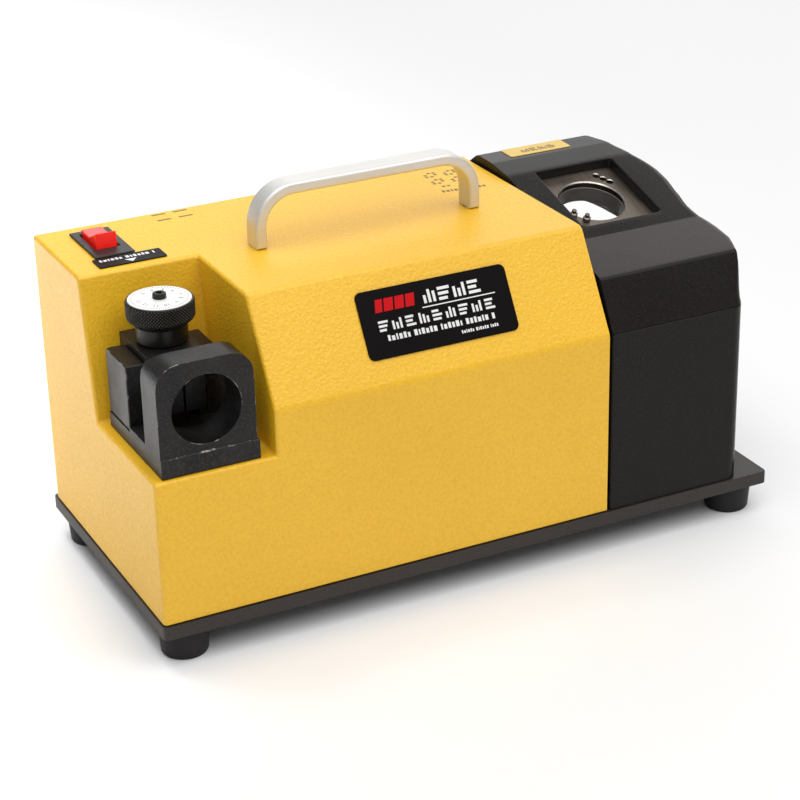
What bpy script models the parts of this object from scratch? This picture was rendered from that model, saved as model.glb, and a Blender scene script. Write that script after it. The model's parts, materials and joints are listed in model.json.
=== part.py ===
"""Drill bit sharpener: a bench grinder for twist drills, 320 mm long.

Frame: +X along the machine towards the grinding wheel, -Y towards the operator, +Z up. The origin is on the
table under the middle of the base plate. Lengths below are in millimetres; MM turns them into Blender's metres.
"""

import math

import bmesh
import bpy
from mathutils import Matrix, Vector

MM = 0.001
GAP = 0.3  # clearance between neighbouring pieces
CLEAR = 1.0  # how far a cutter runs past the wall it cuts

# Feet and base plate
PLATE_LENGTH = 320.0
PLATE_WIDTH = 150.0
PLATE_THICK = 6.5
FOOT_HEIGHT = 14.2
FOOT_INSET = 14.0
FOOT_RADIUS = 11.9
PLATE_BOTTOM = FOOT_HEIGHT + GAP
PLATE_TOP = PLATE_BOTTOM + PLATE_THICK

# Yellow housing: outer faces
HOUSING_LEFT = -159.3
HOUSING_RIGHT = 68.0
HOUSING_FRONT = -73.9
HOUSING_BACK = 71.5
HOUSING_BOTTOM = PLATE_TOP + 0.8
HOUSING_TOP = 158.4
SHEET = 1.6
SLOPE_LOW_Z = 112.8  # height where the vertical front face turns into the slope
SLOPE_HIGH_Y = -47.0  # depth where the slope meets the flat top

# Ledge cut into the housing's front left corner
LEDGE_Z = 91.1
LEDGE_RIGHT = -101.8
LEDGE_WALL_LOW_Y = -2.2
LEDGE_WALL_HIGH_Y = 8.2

# Black wheel cover: lower box and upper hood
COVER_LEFT = 69.8
COVER_RIGHT = 144.0
COVER_FRONT = -73.7
COVER_BACK = 73.0
COVER_SEAM = 112.8
COVER_WALL = 2.0
COVER_CORNER = 8.0
HOOD_WALL = 2.5
HOOD_EDGE = 3.5
HOOD_CREASE = (-61.5, 136.7)  # (y, z) where the front band meets the light facet
HOOD_STEP = (-30.5, 144.4)  # where that facet meets the window slope
HOOD_BREAK = (27.0, 160.6)  # upper end of the window slope
HOOD_RIDGE = (42.0, 162.6)
HOOD_REAR = (57.5, 162.8)  # far end of the flat strip behind the ridge
HOOD_BACK = (COVER_BACK, 152.0)
REAR_NOTCH_Z = (106.0, 122.5)  # chip and light opening across the rear right corner

# Window and grinding port, on the window slope
PORT_X = 105.6
PORT_WINDOW = (43.4, 48.8)  # size along X and along the slope
WINDOW_SHIFT = (1.0, 0.2)  # window's middle in the slope's frame
BORE_SHIFT = (-1.2, 0.3)  # port's middle in the slope's frame
PORT_ALONG = 33.5  # from the step crease up the slope to the window's middle
PORT_DEPTH = 5.0  # from the slope down to the port plate
PORT_PLATE = (54.0, 62.0, 3.0)
PORT_RADIUS = 16.4
SLEEVE_WALL = 2.2
SLEEVE_LENGTH = 8.0

# Motor, spindle and wheel, on one axis along X
AXIS_Y = 6.0
AXIS_Z = 80.0
MOTOR_RADIUS = 45.0
SHAFT_RADIUS = 5.7
BEARING_RADIUS = 13.0
WHEEL_RADIUS = 38.0

# Setting device on the ledge
SET_X = -132.0
SET_WIDTH = 45.4
SET_BASE_EXTRA = 0.9  # how much wider the base is than the front plate, at the right
SET_FRONT = -71.8
SET_BACK = -7.7
SET_BASE_BOTTOM = LEDGE_Z + GAP
SET_BASE_TOP = 101.0
SET_PLATE_TOP = 143.3
SET_PLATE_THICK = 19.0
SET_BORE_RADIUS = 16.2
SET_BORE_Z = 120.0
KNOB_X = -131.4
KNOB_Y = -19.6
KNOB_RADIUS = 15.7
NECK_RADIUS = 11.8
CHANNEL_TOP = 133.2

# Switch
SWITCH_X = -135.1
SWITCH_Y = 45.9
SWITCH_FRAME = (19.4, 36.4, 0.9)
SWITCH_FRAME_SHIFT = -2.8  # how far the frame reaches more to the front than to the back
SWITCH_HOLE = (12.0, 22.6)
ROCKER_TILT = math.radians(12.0)

# Handle
HANDLE_LEFT = -76.4
HANDLE_RIGHT = 39.2
HANDLE_Y = 4.4
HANDLE_WIDTH = 12.6
HANDLE_THICK = 5.5
HANDLE_TOP = 187.9
HANDLE_RADIUS = 20.0

ROUND_STEPS = 32

PARTS = None
CUTTERS = None


# ---------------------------------------------------------------- scene and materials


def start_scene():
    """Empties the scene and makes the two collections."""
    global PARTS, CUTTERS
    for obj in list(bpy.data.objects):
        bpy.data.objects.remove(obj, do_unlink=True)
    PARTS = bpy.data.collections.new("drill_bit_sharpener")
    CUTTERS = bpy.data.collections.new("cutters")
    for collection in (PARTS, CUTTERS):
        bpy.context.scene.collection.children.link(collection)


def material(name, colour, roughness, metallic=0.0):
    made = bpy.data.materials.get(name)
    if made is None:
        made = bpy.data.materials.new(name)
        made.use_nodes = True
        shader = made.node_tree.nodes["Principled BSDF"]
        shader.inputs["Base Color"].default_value = (*colour, 1.0)
        shader.inputs["Roughness"].default_value = roughness
        shader.inputs["Metallic"].default_value = metallic
    return made


def yellow_paint():
    return material("yellow_paint", (0.85, 0.52, 0.06), 0.5)


def black_paint():
    return material("black_paint", (0.045, 0.04, 0.038), 0.45)


def plate_paint():
    return material("plate_paint", (0.08, 0.065, 0.06), 0.5)


def black_steel():
    return material("black_steel", (0.035, 0.032, 0.032), 0.35, 0.8)


def bright_steel():
    return material("bright_steel", (0.55, 0.54, 0.52), 0.3, 1.0)


def port_steel():
    return material("port_steel", (0.22, 0.19, 0.16), 0.4, 0.9)


def aluminium():
    return material("aluminium", (0.72, 0.71, 0.69), 0.35, 1.0)


def rubber():
    return material("rubber", (0.03, 0.03, 0.03), 0.7)


def black_plastic():
    return material("black_plastic", (0.04, 0.04, 0.04), 0.5)


def red_plastic():
    return material("red_plastic", (0.8, 0.02, 0.01), 0.3)


def white_plastic():
    return material("white_plastic", (0.85, 0.85, 0.83), 0.4)


def grinding_stone():
    return material("grinding_stone", (0.35, 0.33, 0.3), 0.9)


def label_black():
    return material("label_black", (0.02, 0.018, 0.02), 0.3)


def label_yellow():
    return material("label_yellow", (0.8, 0.6, 0.15), 0.4)


# ---------------------------------------------------------------- building blocks


def new_object(name, mesh, paint, cutter=False):
    obj = bpy.data.objects.new(name, mesh)
    if cutter:
        CUTTERS.objects.link(obj)
        obj.hide_render = True
        obj.display_type = "WIRE"
    else:
        PARTS.objects.link(obj)
        mesh.materials.append(paint)
    return obj


def mesh_from(name, work):
    """Ends a bmesh: faces outward, points made one, turned into a mesh in metres."""
    bmesh.ops.remove_doubles(work, verts=work.verts, dist=0.001)
    bmesh.ops.recalc_face_normals(work, faces=work.faces)
    bmesh.ops.scale(work, vec=(MM, MM, MM), verts=work.verts)
    mesh = bpy.data.meshes.new(name)
    work.to_mesh(mesh)
    work.free()
    return mesh


def box(name, low, high, paint=None, cutter=False, bevel=0.0):
    """A block between two corners, in millimetres."""
    work = bmesh.new()
    bmesh.ops.create_cube(work, size=1.0)
    low, high = Vector(low), Vector(high)
    bmesh.ops.scale(work, vec=high - low, verts=work.verts)
    bmesh.ops.translate(work, vec=(low + high) / 2, verts=work.verts)
    if bevel:
        bmesh.ops.bevel(work, geom=work.edges[:], offset=bevel, segments=1, affect="EDGES")
    return new_object(name, mesh_from(name, work), paint, cutter)


def cylinder(name, radius, low, high, paint=None, cutter=False, at=(0.0, 0.0), steps=ROUND_STEPS):
    """An upright round bar from height low to high, its axis through at."""
    work = bmesh.new()
    bmesh.ops.create_cone(
        work, cap_ends=True, segments=steps, radius1=radius, radius2=radius, depth=high - low
    )
    bmesh.ops.translate(work, vec=(at[0], at[1], (low + high) / 2), verts=work.verts)
    obj = new_object(name, mesh_from(name, work), paint, cutter)
    smooth(obj)
    return obj


def smooth(obj):
    obj.data.shade_smooth()
    obj.data.set_sharp_from_angle(angle=math.radians(35))


def rounded_outline(corners, steps=4):
    """Corners are (u, v, radius); each radius becomes an arc of steps pieces."""
    points = []
    count = len(corners)
    for index, (u, v, radius) in enumerate(corners):
        here = Vector((u, v))
        if not radius:
            points.append(here)
            continue
        before = (Vector(corners[index - 1][:2]) - here).normalized()
        after = (Vector(corners[(index + 1) % count][:2]) - here).normalized()
        half = before.angle(after) / 2
        centre = here + (before + after).normalized() * radius / math.sin(half)
        first = here + before * radius / math.tan(half) - centre
        turn = first.angle_signed(here + after * radius / math.tan(half) - centre)
        for step in range(steps + 1):
            points.append(centre + Matrix.Rotation(-turn * step / steps, 2) @ first)
    return points


def sheet_along(axis, name, outline, low, high, paint=None, cutter=False):
    """A flat outline pushed along X, Y or Z from low to high.

    The outline's (u, v) are (y, z) along X, (x, z) along Y and (x, y) along Z.
    """
    curve = bpy.data.curves.new(name, "CURVE")
    curve.dimensions = "2D"
    curve.fill_mode = "BOTH"
    curve.extrude = (high - low) / 2
    spline = curve.splines.new("POLY")
    spline.points.add(len(outline) - 1)
    for point, spot in zip(spline.points, outline):
        point.co = (spot[0], spot[1], 0.0, 1.0)
    spline.use_cyclic_u = True
    guide = bpy.data.objects.new(name + "_guide", curve)
    bpy.context.scene.collection.objects.link(guide)
    graph = bpy.context.evaluated_depsgraph_get()
    flat = bpy.data.meshes.new_from_object(guide.evaluated_get(graph))
    bpy.data.objects.remove(guide, do_unlink=True)
    bpy.data.curves.remove(curve)
    work = bmesh.new()
    work.from_mesh(flat)
    bpy.data.meshes.remove(flat)
    middle = (low + high) / 2
    turns = {
        "x": Matrix(((0, 0, 1, middle), (1, 0, 0, 0), (0, 1, 0, 0), (0, 0, 0, 1))),
        "y": Matrix(((1, 0, 0, 0), (0, 0, -1, middle), (0, 1, 0, 0), (0, 0, 0, 1))),
        "z": Matrix(((1, 0, 0, 0), (0, 1, 0, 0), (0, 0, 1, middle), (0, 0, 0, 1))),
    }
    bmesh.ops.transform(work, matrix=turns[axis], verts=work.verts)
    return new_object(name, mesh_from(name, work), paint, cutter)


def turned(name, profile, paint, steps=ROUND_STEPS):
    """A closed ring of (radius, height) points turned about Z, outer side running down first."""
    mesh = bpy.data.meshes.new(name)
    points = [(radius * MM, 0.0, height * MM) for radius, height in profile]
    closed = profile[0][0] > 0
    edges = [(i, i + 1) for i in range(len(points) - 1)]
    if closed:
        edges.append((len(points) - 1, 0))
    mesh.from_pydata(points, edges, [])
    obj = new_object(name, mesh, paint)
    screw = obj.modifiers.new("turn", "SCREW")
    screw.axis = "Z"
    screw.steps = steps
    screw.render_steps = steps
    screw.use_merge_vertices = True
    screw.merge_threshold = 0.00001
    screw.use_smooth_shade = True
    return obj


def lay_along_x(obj, x=0.0, y=AXIS_Y, z=AXIS_Z):
    """Turns an upright piece so that its height runs along +X."""
    obj.rotation_euler = (0.0, math.pi / 2, 0.0)
    obj.location = (x * MM, y * MM, z * MM)
    return obj


def boolean(obj, other, operation="DIFFERENCE"):
    modifier = obj.modifiers.new(other.name, "BOOLEAN")
    modifier.operation = operation
    modifier.solver = "EXACT"
    modifier.object = other
    return obj


def cut(obj, *cutters):
    for cutter in cutters:
        boolean(obj, cutter)
    return obj


def helper(obj):
    """Turns a made piece into one that only serves a Boolean."""
    PARTS.objects.unlink(obj)
    CUTTERS.objects.link(obj)
    obj.hide_render = True
    obj.display_type = "WIRE"
    return obj


def join(obj, *pieces):
    for piece in pieces:
        boolean(obj, helper(piece), "UNION")
    return obj


# ---------------------------------------------------------------- base


def make_base_plate():
    half_l, half_w = PLATE_LENGTH / 2, PLATE_WIDTH / 2
    corners = [(-half_l, -half_w, 2), (half_l, -half_w, 2), (half_l, half_w, 2), (-half_l, half_w, 2)]
    plate = sheet_along("z", "base_plate", rounded_outline(corners, 2), PLATE_BOTTOM, PLATE_TOP, plate_paint())
    for index, spot in enumerate(foot_spots().values()):
        hole = cylinder(
            f"foot_hole_{index}", 2.8, PLATE_BOTTOM - CLEAR, PLATE_TOP + CLEAR, cutter=True, at=spot, steps=12
        )
        cut(plate, hole)
    for index, x in enumerate(front_screw_places()):
        hole = cylinder(
            f"front_hole_{index}",
            2.3,
            PLATE_BOTTOM - CLEAR,
            PLATE_TOP + CLEAR,
            cutter=True,
            at=(x, -67.5),
            steps=12,
        )
        cut(plate, hole)


def foot_spots():
    x, y = PLATE_LENGTH / 2 - FOOT_INSET, PLATE_WIDTH / 2 - FOOT_INSET
    return {
        "front_left": (-x, -y),
        "front_right": (x, -y),
        "rear_left": (-x, y),
        "rear_right": (x, y),
    }


def make_feet():
    for place, spot in foot_spots().items():
        profile = [
            (FOOT_RADIUS, FOOT_HEIGHT),
            (FOOT_RADIUS - 1.0, 1.2),
            (FOOT_RADIUS - 2.2, 0.0),
            (5.5, 0.0),
            (5.5, 6.0),
            (2.9, 6.0),
            (2.9, FOOT_HEIGHT),
        ]
        foot = turned("foot_" + place, profile, rubber(), 24)
        foot.location = (spot[0] * MM, spot[1] * MM, 0.0)
        screw = turned(
            "foot_screw_" + place,
            [(0.0, 19.5), (2.5, 19.5), (2.5, 5.7), (4.6, 5.7), (4.6, 3.2), (3.4, 2.2), (0.0, 2.2)],
            bright_steel(),
            12,
        )
        screw.location = (spot[0] * MM, spot[1] * MM, 0.0)


def front_screw_places():
    return (-116.0, 9.0, 77.0)


def make_front_screws():
    """Screws that come up through the plate's front edge, heads below the plate."""
    top = PLATE_BOTTOM - GAP
    for index, x in enumerate(front_screw_places()):
        screw = turned(
            f"plate_screw_{index + 1}",
            [(0.0, PLATE_TOP - 0.5), (2.0, PLATE_TOP - 0.5), (2.0, top), (3.6, top), (3.6, top - 1.6),
             (2.6, top - 2.6), (0.0, top - 2.6)],
            bright_steel(),
            12,
        )
        screw.location = (x * MM, -67.5 * MM, 0.0)


# ---------------------------------------------------------------- yellow housing


def housing_outline(inset):
    """The housing's section in (y, z), moved in by inset on every side but the bottom."""
    slope = Vector((SLOPE_HIGH_Y - HOUSING_FRONT, HOUSING_TOP - SLOPE_LOW_Z)).normalized()
    shift = inset * (1 - slope.y) / slope.x  # slides the low knee along the offset front face
    low_z = SLOPE_LOW_Z - shift
    high_y = SLOPE_HIGH_Y + inset * (1 - slope.x) / slope.y
    bottom = HOUSING_BOTTOM if not inset else HOUSING_BOTTOM - CLEAR
    return [
        (HOUSING_FRONT + inset, bottom),
        (HOUSING_BACK - inset, bottom),
        (HOUSING_BACK - inset, HOUSING_TOP - inset),
        (high_y, HOUSING_TOP - inset),
        (HOUSING_FRONT + inset, low_z),
    ]


def ledge_block(name, grow):
    """What the ledge takes out of the corner; grow makes it larger for the inside of the sheet."""
    lean = (LEDGE_WALL_HIGH_Y - LEDGE_WALL_LOW_Y) / (HOUSING_TOP - LEDGE_Z)
    low_z = LEDGE_Z - grow
    high_z = HOUSING_TOP + 10.0
    wall = [
        (-120.0, low_z),
        (LEDGE_WALL_LOW_Y + grow + lean * (low_z - LEDGE_Z), low_z),
        (LEDGE_WALL_LOW_Y + grow + lean * (high_z - LEDGE_Z), high_z),
        (-120.0, high_z),
    ]
    return sheet_along("x", name, wall, HOUSING_LEFT - 20.0, LEDGE_RIGHT + grow, cutter=True)


def make_housing():
    housing = sheet_along("x", "main_housing", housing_outline(0.0), HOUSING_LEFT, HOUSING_RIGHT, yellow_paint())
    hollow = sheet_along(
        "x", "housing_hollow", housing_outline(SHEET), HOUSING_LEFT + SHEET, HOUSING_RIGHT + CLEAR, cutter=True
    )
    cut(hollow, ledge_block("ledge_inside", SHEET))
    cut(housing, ledge_block("ledge_outside", 0.0), hollow)
    half_x, half_y = SWITCH_HOLE[0] / 2 + 1.5, SWITCH_HOLE[1] / 2 + 1.5
    cut(
        housing,
        box(
            "switch_cutout",
            (SWITCH_X - half_x, SWITCH_Y - half_y, HOUSING_TOP - 5.0),
            (SWITCH_X + half_x, SWITCH_Y + half_y, HOUSING_TOP + 5.0),
            cutter=True,
        ),
    )
    for index, x in enumerate(handle_screw_places()):
        hole = cylinder(
            f"handle_hole_{index}",
            2.7,
            HOUSING_TOP - 5.0,
            HOUSING_TOP + 5.0,
            cutter=True,
            at=(x, HANDLE_Y),
            steps=12,
        )
        cut(housing, hole)
    inlet_hole = box("inlet_cutout", (-133.6, 60.0, 37.4), (-106.4, 80.0, 56.6), cutter=True)
    cut(housing, inlet_hole)
    return housing


def make_bulkhead():
    """Steel wall between the motor side and the wheel side."""
    outline = [(y, z if z > PLATE_TOP + 5 else PLATE_TOP + GAP) for y, z in housing_outline(SHEET + GAP)]
    wall = sheet_along("x", "bulkhead", outline, 62.0, 64.0, plate_paint())
    hole = lay_along_x(cylinder("bulkhead_hole", 14.0, 50.0, 75.0, cutter=True))
    cut(wall, hole)


def make_power_inlet():
    """Appliance inlet on the back, its socket open to the rear."""
    inlet = box("power_inlet", (-135.6, HOUSING_BACK + GAP, 35.4), (-104.4, HOUSING_BACK + 2.4, 58.6), black_plastic())
    body = box("inlet_body", (-133.2, 50.0, 37.8), (-106.8, HOUSING_BACK + 1.0, 56.2), black_plastic())
    join(inlet, body)
    cut(inlet, box("inlet_socket", (-131.0, 56.0, 40.0), (-109.0, 80.0, 54.0), cutter=True))


# ---------------------------------------------------------------- black wheel cover


def make_wheel_cover():
    """Lower black box round the wheel, open at top and bottom."""

    def ring(inset, radius):
        left, right = COVER_LEFT + inset, COVER_RIGHT - inset
        front, back = COVER_FRONT + inset, COVER_BACK - inset
        return rounded_outline([(left, front, 1), (right, front, radius), (right, back, radius), (left, back, 1)])

    low, high = PLATE_TOP + GAP, COVER_SEAM - GAP / 2
    cover = sheet_along("z", "wheel_cover", ring(0.0, COVER_CORNER), low, high, black_paint())
    hollow = sheet_along(
        "z", "cover_hollow", ring(COVER_WALL, COVER_CORNER - COVER_WALL), low - CLEAR, high + CLEAR, cutter=True
    )
    shaft_hole = lay_along_x(cylinder("cover_shaft_hole", 20.0, 60.0, 80.0, cutter=True))
    cut(cover, hollow, shaft_hole, rear_notch("cover_notch"))


def rear_notch(name):
    return box(name, (104.0, 30.0, REAR_NOTCH_Z[0]), (160.0, 90.0, REAR_NOTCH_Z[1]), cutter=True)


def hood_outline(inset):
    """The hood's section in (y, z); inset moves every side inwards but the open bottom."""
    corners = [
        (COVER_FRONT, COVER_SEAM + GAP / 2),
        HOOD_CREASE,
        HOOD_STEP,
        HOOD_BREAK,
        HOOD_RIDGE,
        HOOD_REAR,
        HOOD_BACK,
        (COVER_BACK, COVER_SEAM + GAP / 2),
    ]
    corners = [Vector(corner) for corner in corners]
    if not inset:
        return corners
    moved = []
    for before, here, after in zip(corners, corners[1:], corners[2:]):
        one, two = (here - before).normalized(), (after - here).normalized()
        inward = Vector((one.y, -one.x)) + Vector((two.y, -two.x))
        moved.append(here + inward * inset / (1 + one.dot(two)))
    low = COVER_SEAM - CLEAR
    front = moved[0] + (corners[0] - corners[1]) * 1.1
    return [front, *moved, Vector((COVER_BACK - inset, low))]


def hood_block(name, inset, paint=None):
    """Solid hood shape, its right end softly rounded."""
    outline = hood_outline(inset)
    block = sheet_along(
        "x", name, outline, COVER_LEFT + inset, COVER_RIGHT - inset, paint, cutter=paint is None
    )
    work = bmesh.new()
    work.from_mesh(block.data)
    right = (COVER_RIGHT - inset) * MM
    low = (COVER_SEAM + 1.0) * MM
    rim = [
        edge
        for edge in work.edges
        if all(abs(v.co.x - right) < 1e-5 for v in edge.verts)
        and len(edge.link_faces) == 2
        and edge.calc_face_angle() > 0.5
        and max(v.co.z for v in edge.verts) > low
    ]
    bmesh.ops.bevel(work, geom=rim, offset=(HOOD_EDGE - inset / 2) * MM, segments=3, affect="EDGES", profile=0.5)
    bmesh.ops.recalc_face_normals(work, faces=work.faces)
    work.to_mesh(block.data)
    work.free()
    return block


def slope_frame():
    """Matrix from the window slope's own frame (x along X, y up the slope, z out of it), in millimetres."""
    step, top = Vector(HOOD_STEP), Vector(HOOD_BREAK)
    along = (top - step).normalized()
    middle = step + along * PORT_ALONG
    return Matrix(
        (
            (1, 0, 0, PORT_X),
            (0, along.x, -along.y, middle.x),
            (0, along.y, along.x, middle.y),
            (0, 0, 0, 1),
        )
    )


def on_slope(obj, at=(0.0, 0.0)):
    """Moves a piece made round the origin to a spot on the window slope."""
    matrix = slope_frame()
    place = matrix @ Vector((at[0], at[1], 0.0))
    obj.matrix_world = Matrix.Translation(place * MM) @ matrix.to_3x3().to_4x4()
    return obj


def make_hood():
    hood = hood_block("wheel_hood", 0.0, black_paint())
    cut(hood, hood_block("hood_hollow", HOOD_WALL))
    half_x, half_y = PORT_WINDOW[0] / 2, PORT_WINDOW[1] / 2
    rim_x, rim_y = half_x + 2.5, half_y + 2.5
    collar = box("window_collar", (-rim_x, -rim_y, GAP - PORT_DEPTH), (rim_x, rim_y, -1.0), black_paint())
    join(hood, on_slope(collar, WINDOW_SHIFT))
    window = box("window_cut", (-half_x, -half_y, -20.0), (half_x, half_y, 20.0), cutter=True)
    cut(hood, on_slope(window, WINDOW_SHIFT))
    cut(hood, rear_notch("hood_notch"))


def slope_bar(name, radius, low, high, at=(0.0, 0.0), steps=ROUND_STEPS):
    return on_slope(cylinder(name, radius, low, high, cutter=True, at=at, steps=steps))


def stop_pin_spots():
    """Where the two stop pins stand, in the slope's frame."""
    reach = PORT_RADIUS + 2.1
    middle_x, middle_y = BORE_SHIFT
    angles = (math.radians(210.5), math.radians(231.5))
    return [(middle_x + reach * math.cos(a), middle_y + reach * math.sin(a)) for a in angles]


def make_port():
    size_x, size_y, thick = PORT_PLATE
    top = -PORT_DEPTH
    plate = on_slope(
        box("port_plate", (-size_x / 2, -size_y / 2, top - thick), (size_x / 2, size_y / 2, top), port_steel())
    )
    cut(plate, slope_bar("port_bore", PORT_RADIUS, top - 10, top + 10, BORE_SHIFT, 40))
    for index in range(3):
        spot = (12.1 + 2.05 * index, 19.3 - 3.45 * index)
        cut(plate, slope_bar(f"locating_hole_{index}", 1.7, top - 10, top + 10, spot, 10))
    for index, spot in enumerate(stop_pin_spots()):
        cut(plate, slope_bar(f"pin_hole_{index}", 1.3, top - 10, top + 10, spot, 12))
        profile = [(0.0, top + 4.2), (1.1, top + 4.2), (1.1, top + 2.2), (1.9, top + 2.2), (1.9, top + GAP),
                   (1.0, top + GAP), (1.0, top - thick), (0.0, top - thick)]
        on_slope(turned(f"stop_pin_{'lr'[index]}", profile, bright_steel(), 12), spot)
    low = top - thick - GAP
    outer = PORT_RADIUS + SLEEVE_WALL
    profile = [(outer, low), (outer, low - SLEEVE_LENGTH), (PORT_RADIUS, low - SLEEVE_LENGTH), (PORT_RADIUS, low)]
    on_slope(turned("port_sleeve", profile, black_steel(), 40), BORE_SHIFT)


# ---------------------------------------------------------------- motor and spindle


def spindle_piece(name, profile, paint, steps=ROUND_STEPS):
    """A turned piece on the motor's axis; its heights are places along X."""
    return lay_along_x(turned(name, profile, paint, steps))


def ring(outer, inner, low, high):
    return [(outer, high), (outer, low), (inner, low), (inner, high)]


def make_motor():
    spindle_piece("motor_body", ring(MOTOR_RADIUS, 26.0, -58.0, 22.0), aluminium())
    for side, face, seat in (("left", -58.0 - GAP, -1), ("right", 22.0 + GAP, 1)):
        inner, outer = face, face + seat * 12.0
        floor = outer - seat * 2.0
        profile = [
            (MOTOR_RADIUS, inner),
            (MOTOR_RADIUS - 2.0, outer),
            (8.0, outer),
            (8.0, floor),
            (BEARING_RADIUS + GAP, floor),
            (BEARING_RADIUS + GAP, inner),
        ]
        if seat > 0:
            profile.reverse()
        spindle_piece(f"motor_cap_{side}", profile, aluminium())
        low, high = sorted((floor - seat * GAP, floor - seat * 9.3))
        spindle_piece(f"bearing_{side}", ring(BEARING_RADIUS, SHAFT_RADIUS + GAP, low, high), bright_steel())
    shaft = [
        (0.0, 133.0), (SHAFT_RADIUS, 133.0), (SHAFT_RADIUS, 20.0), (24.5, 20.0), (24.5, -56.0),
        (SHAFT_RADIUS, -56.0), (SHAFT_RADIUS, -90.0), (0.0, -90.0),
    ]
    spindle_piece("motor_shaft", shaft, bright_steel(), 24)


def make_fan():
    """Cooling fan on the shaft's left end: a hub disc with flat blades."""
    fan = spindle_piece("cooling_fan", ring(40.0, SHAFT_RADIUS + GAP, -80.0, -78.0), black_plastic())
    work = bmesh.new()
    for index in range(8):
        made = bmesh.ops.create_cube(work, size=1.0)["verts"]
        bmesh.ops.scale(work, vec=(1.6, 26.0, 6.0), verts=made)
        bmesh.ops.translate(work, vec=(0.0, 25.0, 0.0), verts=made)
        bmesh.ops.rotate(work, verts=made, matrix=Matrix.Rotation(index * math.pi / 4, 3, "Z"))
    bmesh.ops.translate(work, vec=(0.0, 0.0, -76.0), verts=work.verts)
    blades = lay_along_x(new_object("fan_blades", mesh_from("fan_blades", work), black_plastic()))
    join(fan, blades)


def make_cradle():
    """Saddle that carries the motor on the base plate."""
    low = PLATE_TOP + GAP
    outline = [(AXIS_Y - 42, low), (AXIS_Y + 42, low), (AXIS_Y + 42, 60.0), (AXIS_Y - 42, 60.0)]
    cradle = sheet_along("x", "motor_cradle", outline, -48.0, 12.0, plate_paint())
    cut(cradle, lay_along_x(cylinder("cradle_seat", MOTOR_RADIUS + GAP, -60.0, 30.0, cutter=True, steps=48)))


def make_capacitor():
    can = cylinder("run_capacitor", 15.0, -148.0, -96.0, aluminium(), steps=24)
    lay_along_x(can, y=30.0, z=PLATE_TOP + 16.0)


def make_wheel():
    flange = [
        (19.0, 97.0), (19.0, 93.0), (11.0, 93.0), (11.0, 86.0), (SHAFT_RADIUS + GAP, 86.0), (SHAFT_RADIUS + GAP, 97.0)
    ]
    spindle_piece("wheel_flange", flange, bright_steel())
    wheel = [
        (WHEEL_RADIUS - 6.0, 117.3), (WHEEL_RADIUS, 112.0), (WHEEL_RADIUS, 103.0), (WHEEL_RADIUS - 6.0, 97.3),
        (SHAFT_RADIUS + GAP, 97.3), (SHAFT_RADIUS + GAP, 110.0), (18.0, 110.0), (24.0, 117.3),
    ]
    spindle_piece("grinding_wheel", wheel, grinding_stone(), 40)
    spindle_piece("wheel_nut", ring(11.0, 7.0, 112.6, 121.0), bright_steel(), 6)
    spindle_piece("wheel_washer", ring(15.0, SHAFT_RADIUS + GAP, 110.3, 112.3), bright_steel(), 24)


# ---------------------------------------------------------------- setting device


def make_setting_bracket():
    """Base and front plate in one piece, with the bore that takes the drill chuck."""
    half = SET_WIDTH / 2
    left, right = SET_X - half, SET_X + half
    side = [
        (SET_FRONT, SET_BASE_BOTTOM),
        (SET_BACK, SET_BASE_BOTTOM),
        (SET_BACK, SET_BASE_TOP - 2.3),
        (SET_BACK - 25.6, SET_BASE_TOP - 2.3),
        (SET_BACK - 25.6, SET_BASE_TOP),
        (SET_FRONT + SET_PLATE_THICK, SET_BASE_TOP),
        (SET_FRONT + SET_PLATE_THICK, SET_PLATE_TOP - 4.0),
        (SET_FRONT + SET_PLATE_THICK - 4.0, SET_PLATE_TOP),
        (SET_FRONT + 0.7, SET_PLATE_TOP),
        (SET_FRONT + 0.7, SET_BASE_TOP - 0.6),
        (SET_FRONT, SET_BASE_TOP - 0.6),
    ]
    bracket = sheet_along("x", "setting_bracket", side, left, right + SET_BASE_EXTRA, black_steel())
    step = SET_BASE_TOP - 0.6
    face = [(left, 60, 0), (right, 60, 0), (right, SET_PLATE_TOP, 11), (left, SET_PLATE_TOP, 11)]
    frame = rounded_outline([(left - 9, step, 0), (right + 9, step, 0), (right + 9, 160, 0), (left - 9, 160, 0)])
    corners = sheet_along("y", "corner_frame", frame, SET_FRONT - 5, SET_FRONT + SET_PLATE_THICK + 5, cutter=True)
    inside = sheet_along("y", "corner_inside", rounded_outline(face, 5), SET_FRONT - 9, SET_FRONT + 40, cutter=True)
    cut(corners, inside)
    cut(bracket, corners)
    bore = cylinder("setting_bore", SET_BORE_RADIUS, -20.0, 20.0, cutter=True, steps=48)
    bore.rotation_euler = (math.pi / 2, 0.0, 0.0)
    bore.location = (SET_X * MM, (SET_FRONT + 9.0) * MM, SET_BORE_Z * MM)
    floor_hole = cylinder("floor_hole", 1.8, 95.0, 110.0, cutter=True, at=(SET_X + 3.0, -43.0), steps=12)
    cut(bracket, bore, floor_hole)


def make_guide_blocks():
    outer, inner = SET_WIDTH / 2 - 0.4, 13.4
    for name, low, high in (
        ("guide_block_left", SET_X - outer, SET_X - inner),
        ("guide_block_right", SET_X + inner, SET_X + outer),
    ):
        low_corner = (low, SET_BACK - 25.3, SET_BASE_TOP - 2.3 + GAP)
        block = box(name, low_corner, (high, SET_BACK, 129.5), black_steel(), bevel=0.4)
    join(block, box("block_nose", (low, SET_BACK - 29.7, SET_BASE_TOP + GAP), (high, SET_BACK - 20, 129.5)))


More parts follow.
